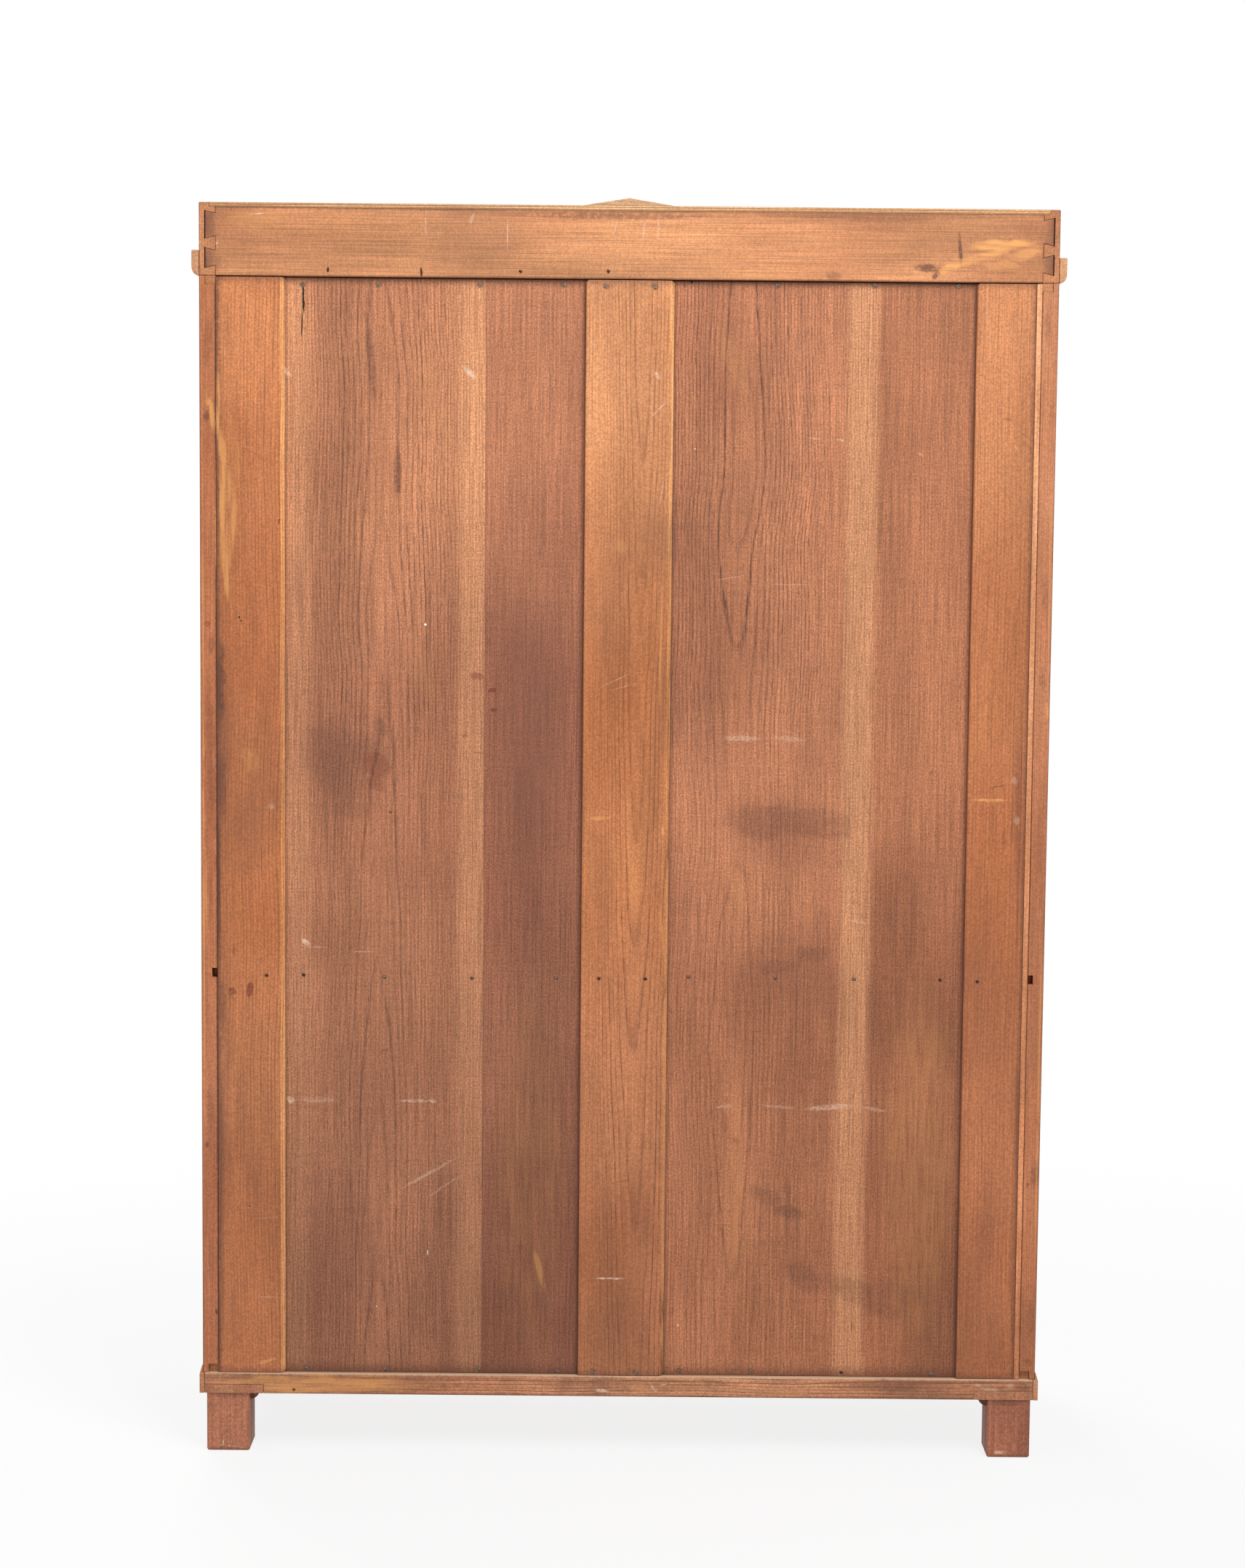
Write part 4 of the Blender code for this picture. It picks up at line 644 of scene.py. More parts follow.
centreStileLook = {
    "centre": -0.020, "pith": 0.034, "gap": 0.0038, "bow": 0.010, "drift": 0.006, "line": 0.95, "dash": 0.6,
    "taper": -0.016, "taperAt": 1.0, "cloud": 0.17, "core": 0.45, "bold": 0.030, "beyond": 0.35,
    "smoke": 0.36, "pale": (0.585, 0.224, 0.090), "deep": (0.48, 0.167, 0.061),
    # painted light: lighter and paler up to the top, where the lamp falls strongest; darker towards the
    # foot
    "fades": [(1.15, 1.50, (1.24, 1.40, 1.54)), (0.80, 0.45, (0.86, 0.88, 0.99))],
    "edges": stileEnds,
    "bands": [(-0.0660, 0.001, -0.0585, 0.0008, 0.80, rubbedArrisAndHighlight, 0.0)],
    "heads": (-63, 59), "wear": {
        "haze": [
            (30, 780, 200, 26, 90, 20), (-10, 640, 150, 40, 80, 20), (20, 330, 170, 40, 85, 20),
            (-45, 1000, 160, 12, 90, 20), (10, 1180, 90, 30, 70, 12),
        ],
        "bare": [
            (34, 925, 23, 4, -5, 55), (-55, 908, 10, 2.5, 90, 75), (10, 1310, 12, 9, 20, 25),
            (-17, 825, 63, 10, 85, 20), (-49, 1180, 123, 3, 90, 35), (-54, 775, 31, 3, 85, 30),
        ],
        "scuff": [
            (-40, 1548, 8, 4, 50, 100), (-42, 1500, 20, 1.4, -45, 60), (14, 1121, 28, 0.8, -25, 50),
            (2, 1112, 24, 0.8, -15, 40), (15, 260, 27, 2, 0, 85), (-48, 1383, 21, 1, -80, 40),
        ],
        "grime": [
            (0, 402, 16, 1, -10, 60), (-25, 342, 4, 3.5, 50, 45), (-46, 395, 7, 3, 75, 35),
            (-24, 1275, 16, 7, 85, 25),
        ],
    },
}
leftStileLook = {
    "centre": -0.610, "pith": 0.060, "gap": 0.0042, "line": 0.60, "dash": 0.6, "cloud": 0.16, "smoke": 0.36,
    "pale": (0.495, 0.180, 0.072), "deep": (0.415, 0.138, 0.053),
    # painted light: lighter and paler up to the top, where the lamp falls strongest; paler and greyer
    # towards the foot
    "fades": [(1.15, 1.50, (1.11, 1.23, 1.30)), (0.80, 0.45, (1.08, 1.14, 1.26))],
    # dirt with painted shade in the groove beside the filler slip, and at the stiles' ends
    "edges": [("X", -0.5692, 0.007, 0.60), ("Z", 1.680, 0.012, 0.45), ("Z", 0.117, 0.012, 0.45)],
    "heads": (-569, -486), "wear": {
        "haze": [
            (-560, 900, 300, 14, 90, 30), (-520, 760, 160, 30, 85, 20), (-530, 320, 170, 34, 95, 25),
            (-500, 1180, 120, 18, 90, 14),
        ],
        "bare": [
            (-517, 956, 32, 3, 0, 95), (-517, 956, 16, 1.5, 15, 70), (-545, 1452, 6, 2.5, 65, 55),
        ],
        "scuff": [
            (-552, 984, 8, 5, 75, 30), (-557, 928, 10, 5, 80, 30),
        ],
        "grime": [
            (-532, 976, 18, 1, -10, 70), (-550, 905, 15, 4, 85, 30), (-568, 373, 9, 9, 0, 21),
            (-555, 1005, 57, 6, 90, 30), (-560, 940, 220, 4, 90, 30), (-565, 390, 255, 5, 90, 40),
            (-532, 1492, 10, 2.5, 10, 35),
        ],
        "red": [
            (-539, 899, 16, 4, 80, 30),
        ],
    },
}
fillerLook = {
    "centre": -0.575, "pith": 0.030, "gap": 0.0026, "line": 0.30, "smoke": 0.45,
    "pale": (0.77, 0.354, 0.172), "deep": (0.60, 0.232, 0.103), "rough": 0.75, "cloud": 0.16,
    # painted light: lighter and paler up to the top, where the lamp falls strongest
    "fades": [(1.05, 1.45, (1.10, 1.15, 1.18))],
}
dress(woodFinish("stilePhotoLeft", **rightStileLook), "back_right_stile")
dress(woodFinish("stileCentre", **centreStileLook), "back_centre_stile")
dress(woodFinish("stilePhotoRight", **leftStileLook), "back_left_stile")
dress(woodFinish("sawnSlip", **fillerLook), "back_filler_slip")
print("back finished")

# carcass sides and crown ends: polished outside, dry on the edges and inside
shownFace = {
    "faces": [("X", 0.5986, 0.5994), ("Y", -0.1712, -0.1722)], "rough": 0.43,
    "pale": (0.375, 0.130, 0.060), "deep": (0.265, 0.084, 0.038), "lineTone": (0.110, 0.034, 0.016),
}
sideLook = {
    "pith": 0.030, "gap": 0.0032, "line": 0.40, "cloud": 0.14, "grit": 0.16, "polish": shownFace,
}
rightSideLook = {
    **sideLook, "centre": 0.50, "pale": (0.60, 0.216, 0.093), "deep": (0.46, 0.154, 0.064),
    "fades": [(0.85, 0.45, (0.84, 0.86, 0.94))],
    # a dark line of dirt with painted shade where the side's edge meets the stile
    "edges": [("X", 0.5772, 0.0028, 0.85)],
    "wear": {
        "bare": [
            (588, 1507, 9, 5, 75, 70), (582, 1488, 30, 5, 85, 70), (577, 1325, 130, 2, 90, 55),
            (593, 825, 78, 1.5, 90, 40), (596, 910, 750, 1.5, 90, 60),
        ],
        "grime": [
            (590, 1486, 10, 6, -85, 60), (588, 1590, 50, 8, -85, 30), (590, 1195, 6, 5, -15, 60),
            (584, 1165, 18, 7, -85, 35), (585, 965, 72, 6, 90, 25), (592, 450, 5, 5, 0, 70),
            (588, 505, 42, 7, 90, 30), (587, 275, 43, 6, 90, 25),
        ],
        "red": [
            (587, 945, 205, 9, 90, 35),
        ],
        "hole": [
            (580, 206, 5, 2.5, 80, 55),
        ],
    },
}
leftSideLook = {
    **sideLook, "centre": -0.50, "pale": (0.57, 0.235, 0.112), "deep": (0.45, 0.165, 0.075),
    # a dark line of dirt with painted shade where the side's edge meets the stile
    "edges": [("X", -0.5772, 0.0018, 0.60)],
    "wear": {
        "bare": [
            (-576, 1676, 13, 3, -5, 80), (-595, 1085, 16, 4, 85, 55), (-596, 1265, 200, 1.5, 90, 50),
            (-596, 520, 350, 1.5, 90, 45),
        ],
        "grime": [
            (-585, 1620, 30, 7, 85, 25), (-591, 1245, 41, 7, 90, 25), (-588, 1127, 15, 6, 85, 35),
            (-594, 418, 26, 8, -85, 45), (-583, 402, 5, 3, 85, 60), (-592, 205, 37, 7, 90, 30),
            (-589, 144, 8, 5, 15, 35),
        ],
        "red": [
            (-585, 840, 125, 9, 90, 20),
        ],
    },
}
dress(woodFinish("sidePhotoLeft", **rightSideLook), "right_side")
dress(woodFinish("sidePhotoRight", **leftSideLook), "left_side")

# crown box
jointTone = (0.170, 0.066, 0.044)   # old dirt round the dovetails
crownBackLook = {
    "grain": "ZYX", "centre": 1.800, "pith": 0.055, "gap": 0.0024, "bow": 0.010, "drift": 0.008,
    "line": 0.22, "lineWidth": 0.5, "dash": 0.6, "smoke": 0.30, "dust": 0.35, "cloud": 0.20, "fibre": 0.24,
    "pale": (0.64, 0.286, 0.128), "deep": (0.51, 0.202, 0.090), "grit": 0.13, "hatch": 0.055,
    # the dark line under the board is painted shade in the gap below it, with dirt; the other lines are
    # dark joints and old dirt round the dovetails
    "edges": [
        ("X", 0.5915, 0.0035, 0.95), ("X", -0.5915, 0.0035, 0.95),
        ("X", 0.5913, 0.020, 0.60, jointTone), ("X", -0.5913, 0.020, 0.60, jointTone),
        ("Z", 1.6815, 0.003, 0.55), ("Z", 1.7752, 0.004, 0.50),
    ],
    "wear": {
        "haze": [
            (520, 1698, 110, 26, 0, 19), (430, 1692, 190, 16, 0, 14), (330, 1722, 230, 20, 0, 11),
            (-300, 1766, 240, 13, 0, 16), (-440, 1742, 90, 18, 10, 14), (-560, 1750, 60, 24, 20, 16),
            (60, 1700, 230, 18, 0, 8), (160, 1765, 260, 12, 0, 11), (-330, 1700, 120, 18, 0, 11),
        ],
        "bare": [
            (-460, 1706, 40, 10, -25, 95), (-520, 1732, 60, 10, -5, 90), (-555, 1720, 34, 10, -15, 60),
            (-525, 1703, 38, 9, 10, 40), (-495, 1718, 48, 8, -15, 80), (520, 1758, 68, 14, -5, 30),
            (530, 1752, 40, 8, 10, 30), (-165, 1689, 130, 7, 0, 20),
        ],
        "scuff": [
            (520, 1766, 14, 1.5, -5, 90), (284, 1755, 22, 1.2, 90, 60), (220, 1762, 12, 3, -70, 40),
            (170, 1741, 28, 1.2, 90, 60), (20, 1751, 14, 1.5, -75, 45), (-20, 1748, 18, 2.5, -85, 50),
            (-40, 1753, 22, 1.5, 90, 45), (580, 1726, 10, 3, 0, 75),
        ],
        "grime": [
            (-415, 1700, 24, 8, 5, 80), (-428, 1691, 10, 5, -55, 85), (-285, 1688, 14, 8, 5, 40),
            (-461, 1725, 31, 3.5, 85, 80), (15, 1769, 190, 8, 0, 55), (-360, 1770, 220, 6, 0, 35),
            (580, 1698, 17, 14, 80, 31), (-584, 1710, 25, 12, 80, 28), (583, 1750, 20, 8, 85, 30),
            (-510, 1724, 18, 4, 5, 35),
        ],
        "hole": [
            (420, 1690, 4.5, 2, 90, 95), (290, 1688, 8, 1.8, 90, 95), (152, 1690, 3.5, 3, 35, 95),
            (29, 1691, 3, 2.5, 75, 95),
        ],
    },
}
crownEndLook = {
    "grain": "ZXY", "centre": 1.72, "pith": 0.060, "gap": 0.0040, "polish": shownFace, "dust": 0.6,
    "pale": (0.56, 0.240, 0.108), "deep": (0.43, 0.165, 0.072), "smoke": 0.5, "cloud": 0.18, "grit": 0.16,
}
crownFrontLook = {
    "grain": "ZYX", "centre": 1.70, "pith": 0.070, "gap": 0.0050, "dust": 0.45, "face": -0.173,
    "pale": (0.78, 0.510, 0.300), "deep": (0.68, 0.410, 0.230),
    "polish": {**shownFace, "faces": [("Y", -0.1700, -0.1722), ("X", 0.5986, 0.5994)]},
}
topPanelLook = {
    "grain": "YZX", "centre": 0.0, "pith": 0.200, "face": 1.782, "gap": 0.0060, "line": 0.30,
    "pale": (0.80, 0.480, 0.240), "deep": (0.68, 0.370, 0.170), "dust": 0.75, "smoke": 0.25, "rough": 0.75,
    "layers": {
        "low": 1.7755, "thick": 0.0014, "ripple": 0.25, "span": (0.35, 0.65),
        "amount": 0.70, "colour": (0.260, 0.105, 0.050),
    },
}
dress(woodFinish("crownBack", **crownBackLook), "crown_back_board")
dress(woodFinish("crownEnds", **crownEndLook), "crown_left_board", "crown_right_board")
dress(woodFinish("crownFront", **crownFrontLook), "crown_front_board")
dress(woodFinish("crownTop", **topPanelLook), "crown_top_panel")
print("crown finished")

# inside: dry boards with the grain across and a polished front edge, cleats with the grain front to back
insideLook = {
    "gap": 0.0046, "line": 0.38, "smoke": 0.20, "pith": 0.080,
    "pale": (0.50, 0.225, 0.100), "deep": (0.42, 0.170, 0.072), "lineTone": (0.26, 0.095, 0.040),
}
frontEdge = {**shownFace, "faces": [("Y", -0.1712, -0.1722)]}
dress(
    woodFinish("insideBoards", **insideLook, grain="YZX", centre=0.02, face=0.70, polish=frontEdge),
    "carcass_top", "carcass_bottom", "fixed_shelf", "upper_shelf",
)
dress(
    woodFinish("cleatWood", **insideLook, grain="ZXY", centre=1.10, face=0.55),
    "left_shelf_cleat", "right_shelf_cleat",
)

# base frame and feet
baseRearLook = {
    "grain": "ZYX", "centre": 0.130, "pith": 0.030, "gap": 0.0034, "line": 1.0, "smoke": 0.70, "dust": 0.5,
    "cloud": 0.22, "fibre": 0.30, "smokeTone": (0.150, 0.066, 0.042), "drift": 0.010,
    "pale": (0.55, 0.250, 0.130), "deep": (0.44, 0.184, 0.094), "lineTone": (0.17, 0.064, 0.036),
    # the dark bottom arris is painted shade and the pale top arris a painted highlight
    "edges": [("Z", 0.0860, 0.004, 0.65), ("Z", 0.1165, 0.0036, 0.85, (0.68, 0.440, 0.290))], "grit": 0.20,
    "wear": {
        "bare": [
            (465, 94, 18, 8, 15, 50), (435, 101, 200, 16, 0, 60), (285, 91, 21, 5, 0, 25),
            (-30, 99, 21, 8, 10, 30), (-245, 93, 37, 6, 0, 25), (550, 91, 29, 5, 0, 30),
        ],
        "scuff": [
            (25, 95, 14, 3, 5, 75), (-51, 98, 9, 3, 45, 50), (-64, 104, 7, 1.5, -10, 60),
            (-537, 101, 19, 5, 10, 35), (-565, 107, 5, 5, 0, 35), (-519, 108, 6, 3, 15, 35),
        ],
        "grime": [
            (530, 109, 48, 6, 0, 40), (230, 111, 157, 4, 0, 30), (251, 98, 8, 4, 80, 30),
            (110, 88, 5, 5, 0, 35), (-135, 108, 32, 6, 5, 45), (-20, 104, 190, 12, 0, 30),
            (-230, 109, 63, 4, 0, 30), (-393, 106, 68, 11, 0, 35), (-500, 107, 13, 3, 5, 45),
            (-583, 105, 12, 8, 10, 40),
        ],
        "hole": [
            (469, 92, 2.5, 2.5, 0, 80),
        ],
    },
}
footLook = {
    "centre": 0.30, "pith": 0.120, "gap": 0.0042, "line": 0.07, "smoke": 0.45, "rough": 0.55, "cloud": 0.24,
    "pale": (0.44, 0.174, 0.096), "deep": (0.33, 0.122, 0.068), "lineTone": (0.17, 0.056, 0.034),
    "edges": [("Z", 0.0, 0.010, 0.40), ("Z", 0.0862, 0.0012, 0.6)], "grit": 0.22,
    "polish": {  # the plate that is let into the base
        "faces": [("Z", 0.0856, 0.0860)], "rough": 0.66,
        "pale": (0.50, 0.222, 0.116), "deep": (0.38, 0.155, 0.081), "lineTone": (0.40, 0.168, 0.088),
    },
}
# the glue blocks and the feet's flanks are painted near black: painted shade where they sit under the base,
# with dirt
rearFootEdgesAndShade = footLook["edges"] + [("Y", 0.188, 0.015, 0.97)]
rearRightFootLook = {
    **footLook, "face": 0.204, "edges": rearFootEdgesAndShade,
    "wear": {
        "scuff": [
            (571, 12, 5, 1.5, 85, 85), (561, 7, 25, 1.5, 5, 45),
        ],
        "grime": [
            (562, 82, 32, 6, 0, 40), (535, 39, 32, 4, 90, 25),
        ],
    },
}
rearLeftFootLook = {
    **footLook, "face": 0.204, "edges": rearFootEdgesAndShade,
    "pale": (0.52, 0.205, 0.116), "deep": (0.42, 0.155, 0.088),
    "wear": {
        "scuff": [
            (-552, 8, 12, 4, 0, 55),
        ],
        "bare": [
            (-553, 7, 11, 3, 15, 50),
        ],
        "grime": [
            (-558, 81, 32, 6, 0, 40), (-562, 1, 26, 3, 0, 25),
        ],
    },
}
dress(woodFinish("baseRear", **baseRearLook), "base_rear_rail")
dress(woodFinish("footPhotoLeft", **rearRightFootLook), "rear_right_foot")
dress(woodFinish("footPhotoRight", **rearLeftFootLook), "rear_left_foot")
dress(woodFinish("frontFeet", **footLook), "front_left_foot", "front_right_foot")

# show wood: stained, polished, worn a little
polishedLook = {
    "gap": 0.0052, "pith": 0.090, "bow": 0.016, "drift": 0.020, "porous": True,
    "lineWidth": 0.42, "line": 0.62, "dash": 0.70, "fibre": 0.18, "smoke": 0.35,
    "pale": (0.375, 0.130, 0.060), "deep": (0.265, 0.084, 0.038), "lineTone": (0.105, 0.033, 0.016),
    "smokeTone": (0.100, 0.033, 0.017), "rough": 0.36, "shine": 0.40, "coat": 0.25, "relief": 0.00008,
    "cloud": 0.12, "fleck": 0.20,
}
uprightWood = woodFinish("polishedUpright", **polishedLook, grain="XYZ", centre=0.0, face=-0.173)
acrossWood = woodFinish("polishedAcross", **polishedLook, grain="ZYX", centre=0.20, face=-0.173)
rawEnd = {  # the rear ends were never stained
    "faces": [("Y", 0.2054, 0.2062)], "rough": 0.78,
    "pale": (0.60, 0.300, 0.150), "deep": (0.47, 0.205, 0.098), "lineTone": (0.28, 0.110, 0.055),
}
deepWood = woodFinish(
    "polishedDeep", **polishedLook, grain="ZXY", centre=0.90, face=0.60, dust=0.25, polish=rawEnd,
)
for side in sides:
    dress(uprightWood, f"{side}_door_hinge_stile", f"{side}_door_meeting_stile")
    dress(acrossWood, f"{side}_door_top_rail", f"{side}_door_bottom_rail")
    dress(acrossWood, f"{side}_door_upper_bar", f"{side}_door_lower_bar")
    dress(deepWood, f"base_{side}_rail", f"crown_{side}_moulding")
dress(acrossWood, "base_front_rail", "crown_front_moulding")
print("show wood finished")


tarnish = {"colour": (0.40, 0.68), "rough": (0.35, 0.70)}   # spans of the patches' noise


# metal: one colour, dulled in patches where it has tarnished
def metalFinish(name, look):
    finish, tree, shader = newFinish(name)
    place = put(tree, "ShaderNodeTexCoord").outputs["Object"]
    patch = speckle(tree, place, (look["waves"],) * 3, 4.0).outputs[0]
    dull = ramp(tree, patch, *tarnish["colour"])
    rough = ramp(tree, patch, *tarnish["rough"], look["smooth"], look["rough"])
    tree.links.new(tinge(tree, dull, look["bright"], look["dull"]), shader.inputs["Base Color"])
    tree.links.new(rough, shader.inputs["Roughness"])
    shader.inputs["Metallic"].default_value = 1.0
    return finish


brassLook = {
    "bright": (0.70, 0.48, 0.19), "dull": (0.36, 0.22, 0.085),
    "smooth": 0.26, "rough": 0.48, "waves": 90,
}
steelLook = {
    "bright": (0.38, 0.36, 0.34), "dull": (0.24, 0.205, 0.18),
    "smooth": 0.34, "rough": 0.56, "waves": 90,
}
screwLook = {
    "bright": (0.25, 0.19, 0.14), "dull": (0.085, 0.055, 0.042),
    "smooth": 0.45, "rough": 0.70, "waves": 420,
}
brass, steel = metalFinish("agedBrass", brassLook), metalFinish("agedSteel", steelLook)
screwSteel = metalFinish("screwSteel", screwLook)
dress(brass, "key_escutcheon", "lock_bolt")
for end in ("top", "bottom"):
    dress(brass, f"{end}_bolt", f"{end}_bolt_guide")
for side in sides:
    for end in ("lower", "upper"):
        dress(brass, f"{side}_{end}_hinge_door_leaf", f"{side}_{end}_hinge_frame_leaf")
dress(steel, "lock_case", "door_key")

glassLook = {"colour": (0.060, 0.080, 0.072), "rough": 0.03, "ior": 1.52, "cover": 0.10}
glass, _, glassShader = newFinish("oldGlass")
glassShader.inputs["Base Color"].default_value = (*glassLook["colour"], 1)
glassShader.inputs["Roughness"].default_value = glassLook["rough"]
glassShader.inputs["IOR"].default_value = glassLook["ior"]
glassShader.inputs["Alpha"].default_value = glassLook["cover"]   # so that light falls through it
dress(glass, "left_door_glass", "right_door_glass")
print("metal and glass finished")

# worn arrises: coplanar triangles are joined again, then every sharp edge is rounded off
arrisLook = {"wood": 0.0011, "thin": 0.0005, "steps": 2, "angle": 30, "flat": 0.5, "weld": 1e-5}
thinWood = ("crown_top_panel", "back_filler_slip", "back_left_panel", "back_right_panel")


def weld(name):
    nodes[name].modifiers.new("weld", "WELD").merge_threshold = arrisLook["weld"]


def softenArrises(name, width):
    weld(name)
    flat = nodes[name].modifiers.new("flat", "DECIMATE")
    flat.decimate_type = "DISSOLVE"
    flat.angle_limit = math.radians(arrisLook["flat"])
    edge = nodes[name].modifiers.new("arris", "BEVEL")
    edge.width = width
    edge.segments = arrisLook["steps"]
    edge.limit_method = "ANGLE"
    edge.angle_limit = math.radians(arrisLook["angle"])
    edge.miter_outer = "MITER_ARC"


# round metal: facets that meet at less than the angle are shaded as one surface
roundLook = {"angle": 40}
roundTree = bpy.data.node_groups.new("roundFacets", "GeometryNodeTree")
for way in ("INPUT", "OUTPUT"):
    roundTree.interface.new_socket("Geometry", in_out=way, socket_type="NodeSocketGeometry")
bend = put(roundTree, "GeometryNodeInputMeshEdgeAngle").outputs["Unsigned Angle"]
slight = put(
    roundTree, "FunctionNodeCompare", {0: bend, 1: math.radians(roundLook["angle"])}, operation="LESS_THAN"
).outputs[0]
shape = put(roundTree, "NodeGroupInput").outputs[0]
for domain, smooth in (("FACE", True), ("EDGE", slight)):
    values = {"Geometry": shape, "Shade Smooth": smooth}
    shape = put(roundTree, "GeometryNodeSetShadeSmooth", values, domain=domain).outputs[0]
put(roundTree, "NodeGroupOutput", {0: shape})


def roundFacets(name):
    weld(name)
    nodes[name].modifiers.new("round", "NODES").node_group = roundTree


otherWords = ("hinge_door", "hinge_frame", "bolt", "lock", "key", "glass")
woodNodes = [name for name in nodes if not any(word in name for word in otherWords)]
for name in woodNodes:
    softenArrises(name, arrisLook["thin"] if name in thinWood else arrisLook["wood"])
metalNodes = [name for name in nodes if name not in woodNodes and "glass" not in name]
for name in metalNodes:
    roundFacets(name)
print("arrises softened:", len(woodNodes), "metal rounded:", len(metalNodes))


shellLook = {"digits": 7, "smoothBelow": 35}   # places after the point, angle of a soft edge


# closed shells from loops of points: rings[shell, loop, point, xyz], each loop joined to the next;
# points that fall together are welded, collapsed triangles drop out, and a shell whose volume
# comes out negative is turned round
def shellPiece(name, rings, finish, body, loopsMeet=False):
    shells, loops, points, _ = rings.shape
    number = np.arange(rings[..., 0].size).reshape(shells, loops, points)
    near = number if loopsMeet else number[:, :-1]
    far = np.roll(number, -1, axis=1) if loopsMeet else number[:, 1:]
    corners = (near, np.roll(near, -1, axis=2), np.roll(far, -1, axis=2), far)
    quads = np.stack(corners, axis=-1).reshape(shells, -1, 4)
    triangles = np.concatenate([quads[..., [0, 1, 2]], quads[..., [0, 2, 3]]], axis=1)
    where = rings.reshape(-1, 3)
    a, b, c = (where[triangles[..., corner]] for corner in range(3))
    volume = np.einsum("sti,sti->s", a - a.mean(axis=1, keepdims=True), np.cross(b - a, c - a))
    inward = volume < 0
    triangles = np.where(inward[:, None, None], triangles[..., ::-1], triangles).reshape(-1, 3)
    spots, which = np.unique(np.round(where, shellLook["digits"]), axis=0, return_inverse=True)
    triangles = which.reshape(-1)[triangles]
    triangles = triangles[(triangles != np.roll(triangles, 1, axis=1)).all(axis=1)]
    mesh = bpy.data.meshes.new(name)
    mesh.from_pydata(spots.tolist(), [], triangles.tolist())
    mesh.shade_smooth()
    mesh.set_sharp_from_angle(angle=math.radians(shellLook["smoothBelow"]))
    mesh.materials.append(finish)
    piece = bpy.data.objects.new(name, mesh)
    scene.collection.objects.link(piece)
    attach(piece, body)


# cuts on each flank of the slot, points across a cut, the slot's walls and floor as parts of its width
headMesh = {"cuts": 6, "points": 9, "wall": 0.94, "inSlot": 0.97}


# a round head as a row of upright cuts: at x the cut is 2 sqrt(R^2 - x^2) wide, its top stands at
# rim + dome (1 - (x^2 + y^2) / R^2), less the slot's depth where |x| is under half the slot's width,
# and the loop closes along the flat underside
def headLoops(look):
    radius, slot = look["radius"], look["slot"] / 2
    points, wall = headMesh["points"], slot * headMesh["wall"]
    flank = -radius * np.cos(np.linspace(0, math.acos(slot / radius), headMesh["cuts"]))
    x = np.concatenate([flank, [-wall, wall], -flank[::-1]])
    x = np.repeat(x[:, None], 2 * points, axis=1)
    v = np.linspace(-1, 1, points)
    half = np.sqrt(np.maximum(radius ** 2 - x ** 2, 0))
    y = half * np.concatenate([v, v[::-1]])[None, :]
    top = look["rim"] + look["dome"] * (1 - (x ** 2 + y ** 2) / radius ** 2)
    top = top - look["depth"] * (np.abs(x) < slot * headMesh["inSlot"])
    upper = np.repeat([True, False], points)[None, :]
    return np.stack([x, y, np.where(upper, top, -look["sink"])], axis=-1)


# heads set on a face: local (x, y) turned by its own angle in the face, local z along outward
def heads(name, spots, outward, look, finish, body):
    spots = np.asarray(spots, float)
    out = np.asarray(outward, float)
    first = np.array([0.0, 0.0, 1.0]) if abs(out[2]) < 0.5 else np.array([1.0, 0.0, 0.0])
    second = np.cross(out, first)
    turn = np.random.default_rng(look["seed"]).uniform(0, math.pi, len(spots))
    cos, sin = np.cos(turn)[:, None], np.sin(turn)[:, None]
    loops = headLoops(look)
    axisX, axisY = cos * first + sin * second, cos * second - sin * first
    placed = (
        spots[:, None, None, :]
        + loops[None, ..., :1] * axisX[:, None, None, :]
        + loops[None, ..., 1:2] * axisY[:, None, None, :]
        + loops[None, ..., 2:] * out
    )
    shellPiece(name, placed, finish, body)


def onBack(look):
    x, z, inset = np.array(look["places"]).T / 1000
    return np.stack([x, look["rear"] - inset, z], axis=1)


heads("backScrews", onBack(backScrewLook), (0, 1, 0), backScrewLook, screwSteel, "carcass")
heads("backNails", onBack(backNailLook), (0, 1, 0), backNailLook, screwSteel, "carcass")

# small countersunk screws of the hinges: three in each leaf, faces 0.4 mm apart when shut
hingeScrewLook = {
    "radius": 0.0023, "slot": 0.0007, "depth": 0.0004, "rim": 0.00004, "dome": 0.00004, "sink": 0.0008,
    "seed": 7, "levels": (0.010, 0.030, 0.050), "stagger": (0.0095, 0.0125, 0.0095),
    "joint": 0.576, "leafFace": 0.0002,
}
for side, sign in sides.items():
    for owner, body, away in (("frame", "carcass", 1), ("door", f"{side}_door", -1)):
        spots = []
        for end in ("lower", "upper"):
            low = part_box(f"{side}_{end}_hinge_door_leaf")[0].z
            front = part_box(f"{side}_side")[0].y
            face = sign * (hingeScrewLook["joint"] + away * hingeScrewLook["leafFace"])
            for level, inset in zip(hingeScrewLook["levels"], hingeScrewLook["stagger"]):
                spots.append((face, front + inset, low + level))
        outward = (-sign * away, 0, 0)
        heads(f"{side}{owner.title()}LeafScrews", spots, outward, hingeScrewLook, brass, body)

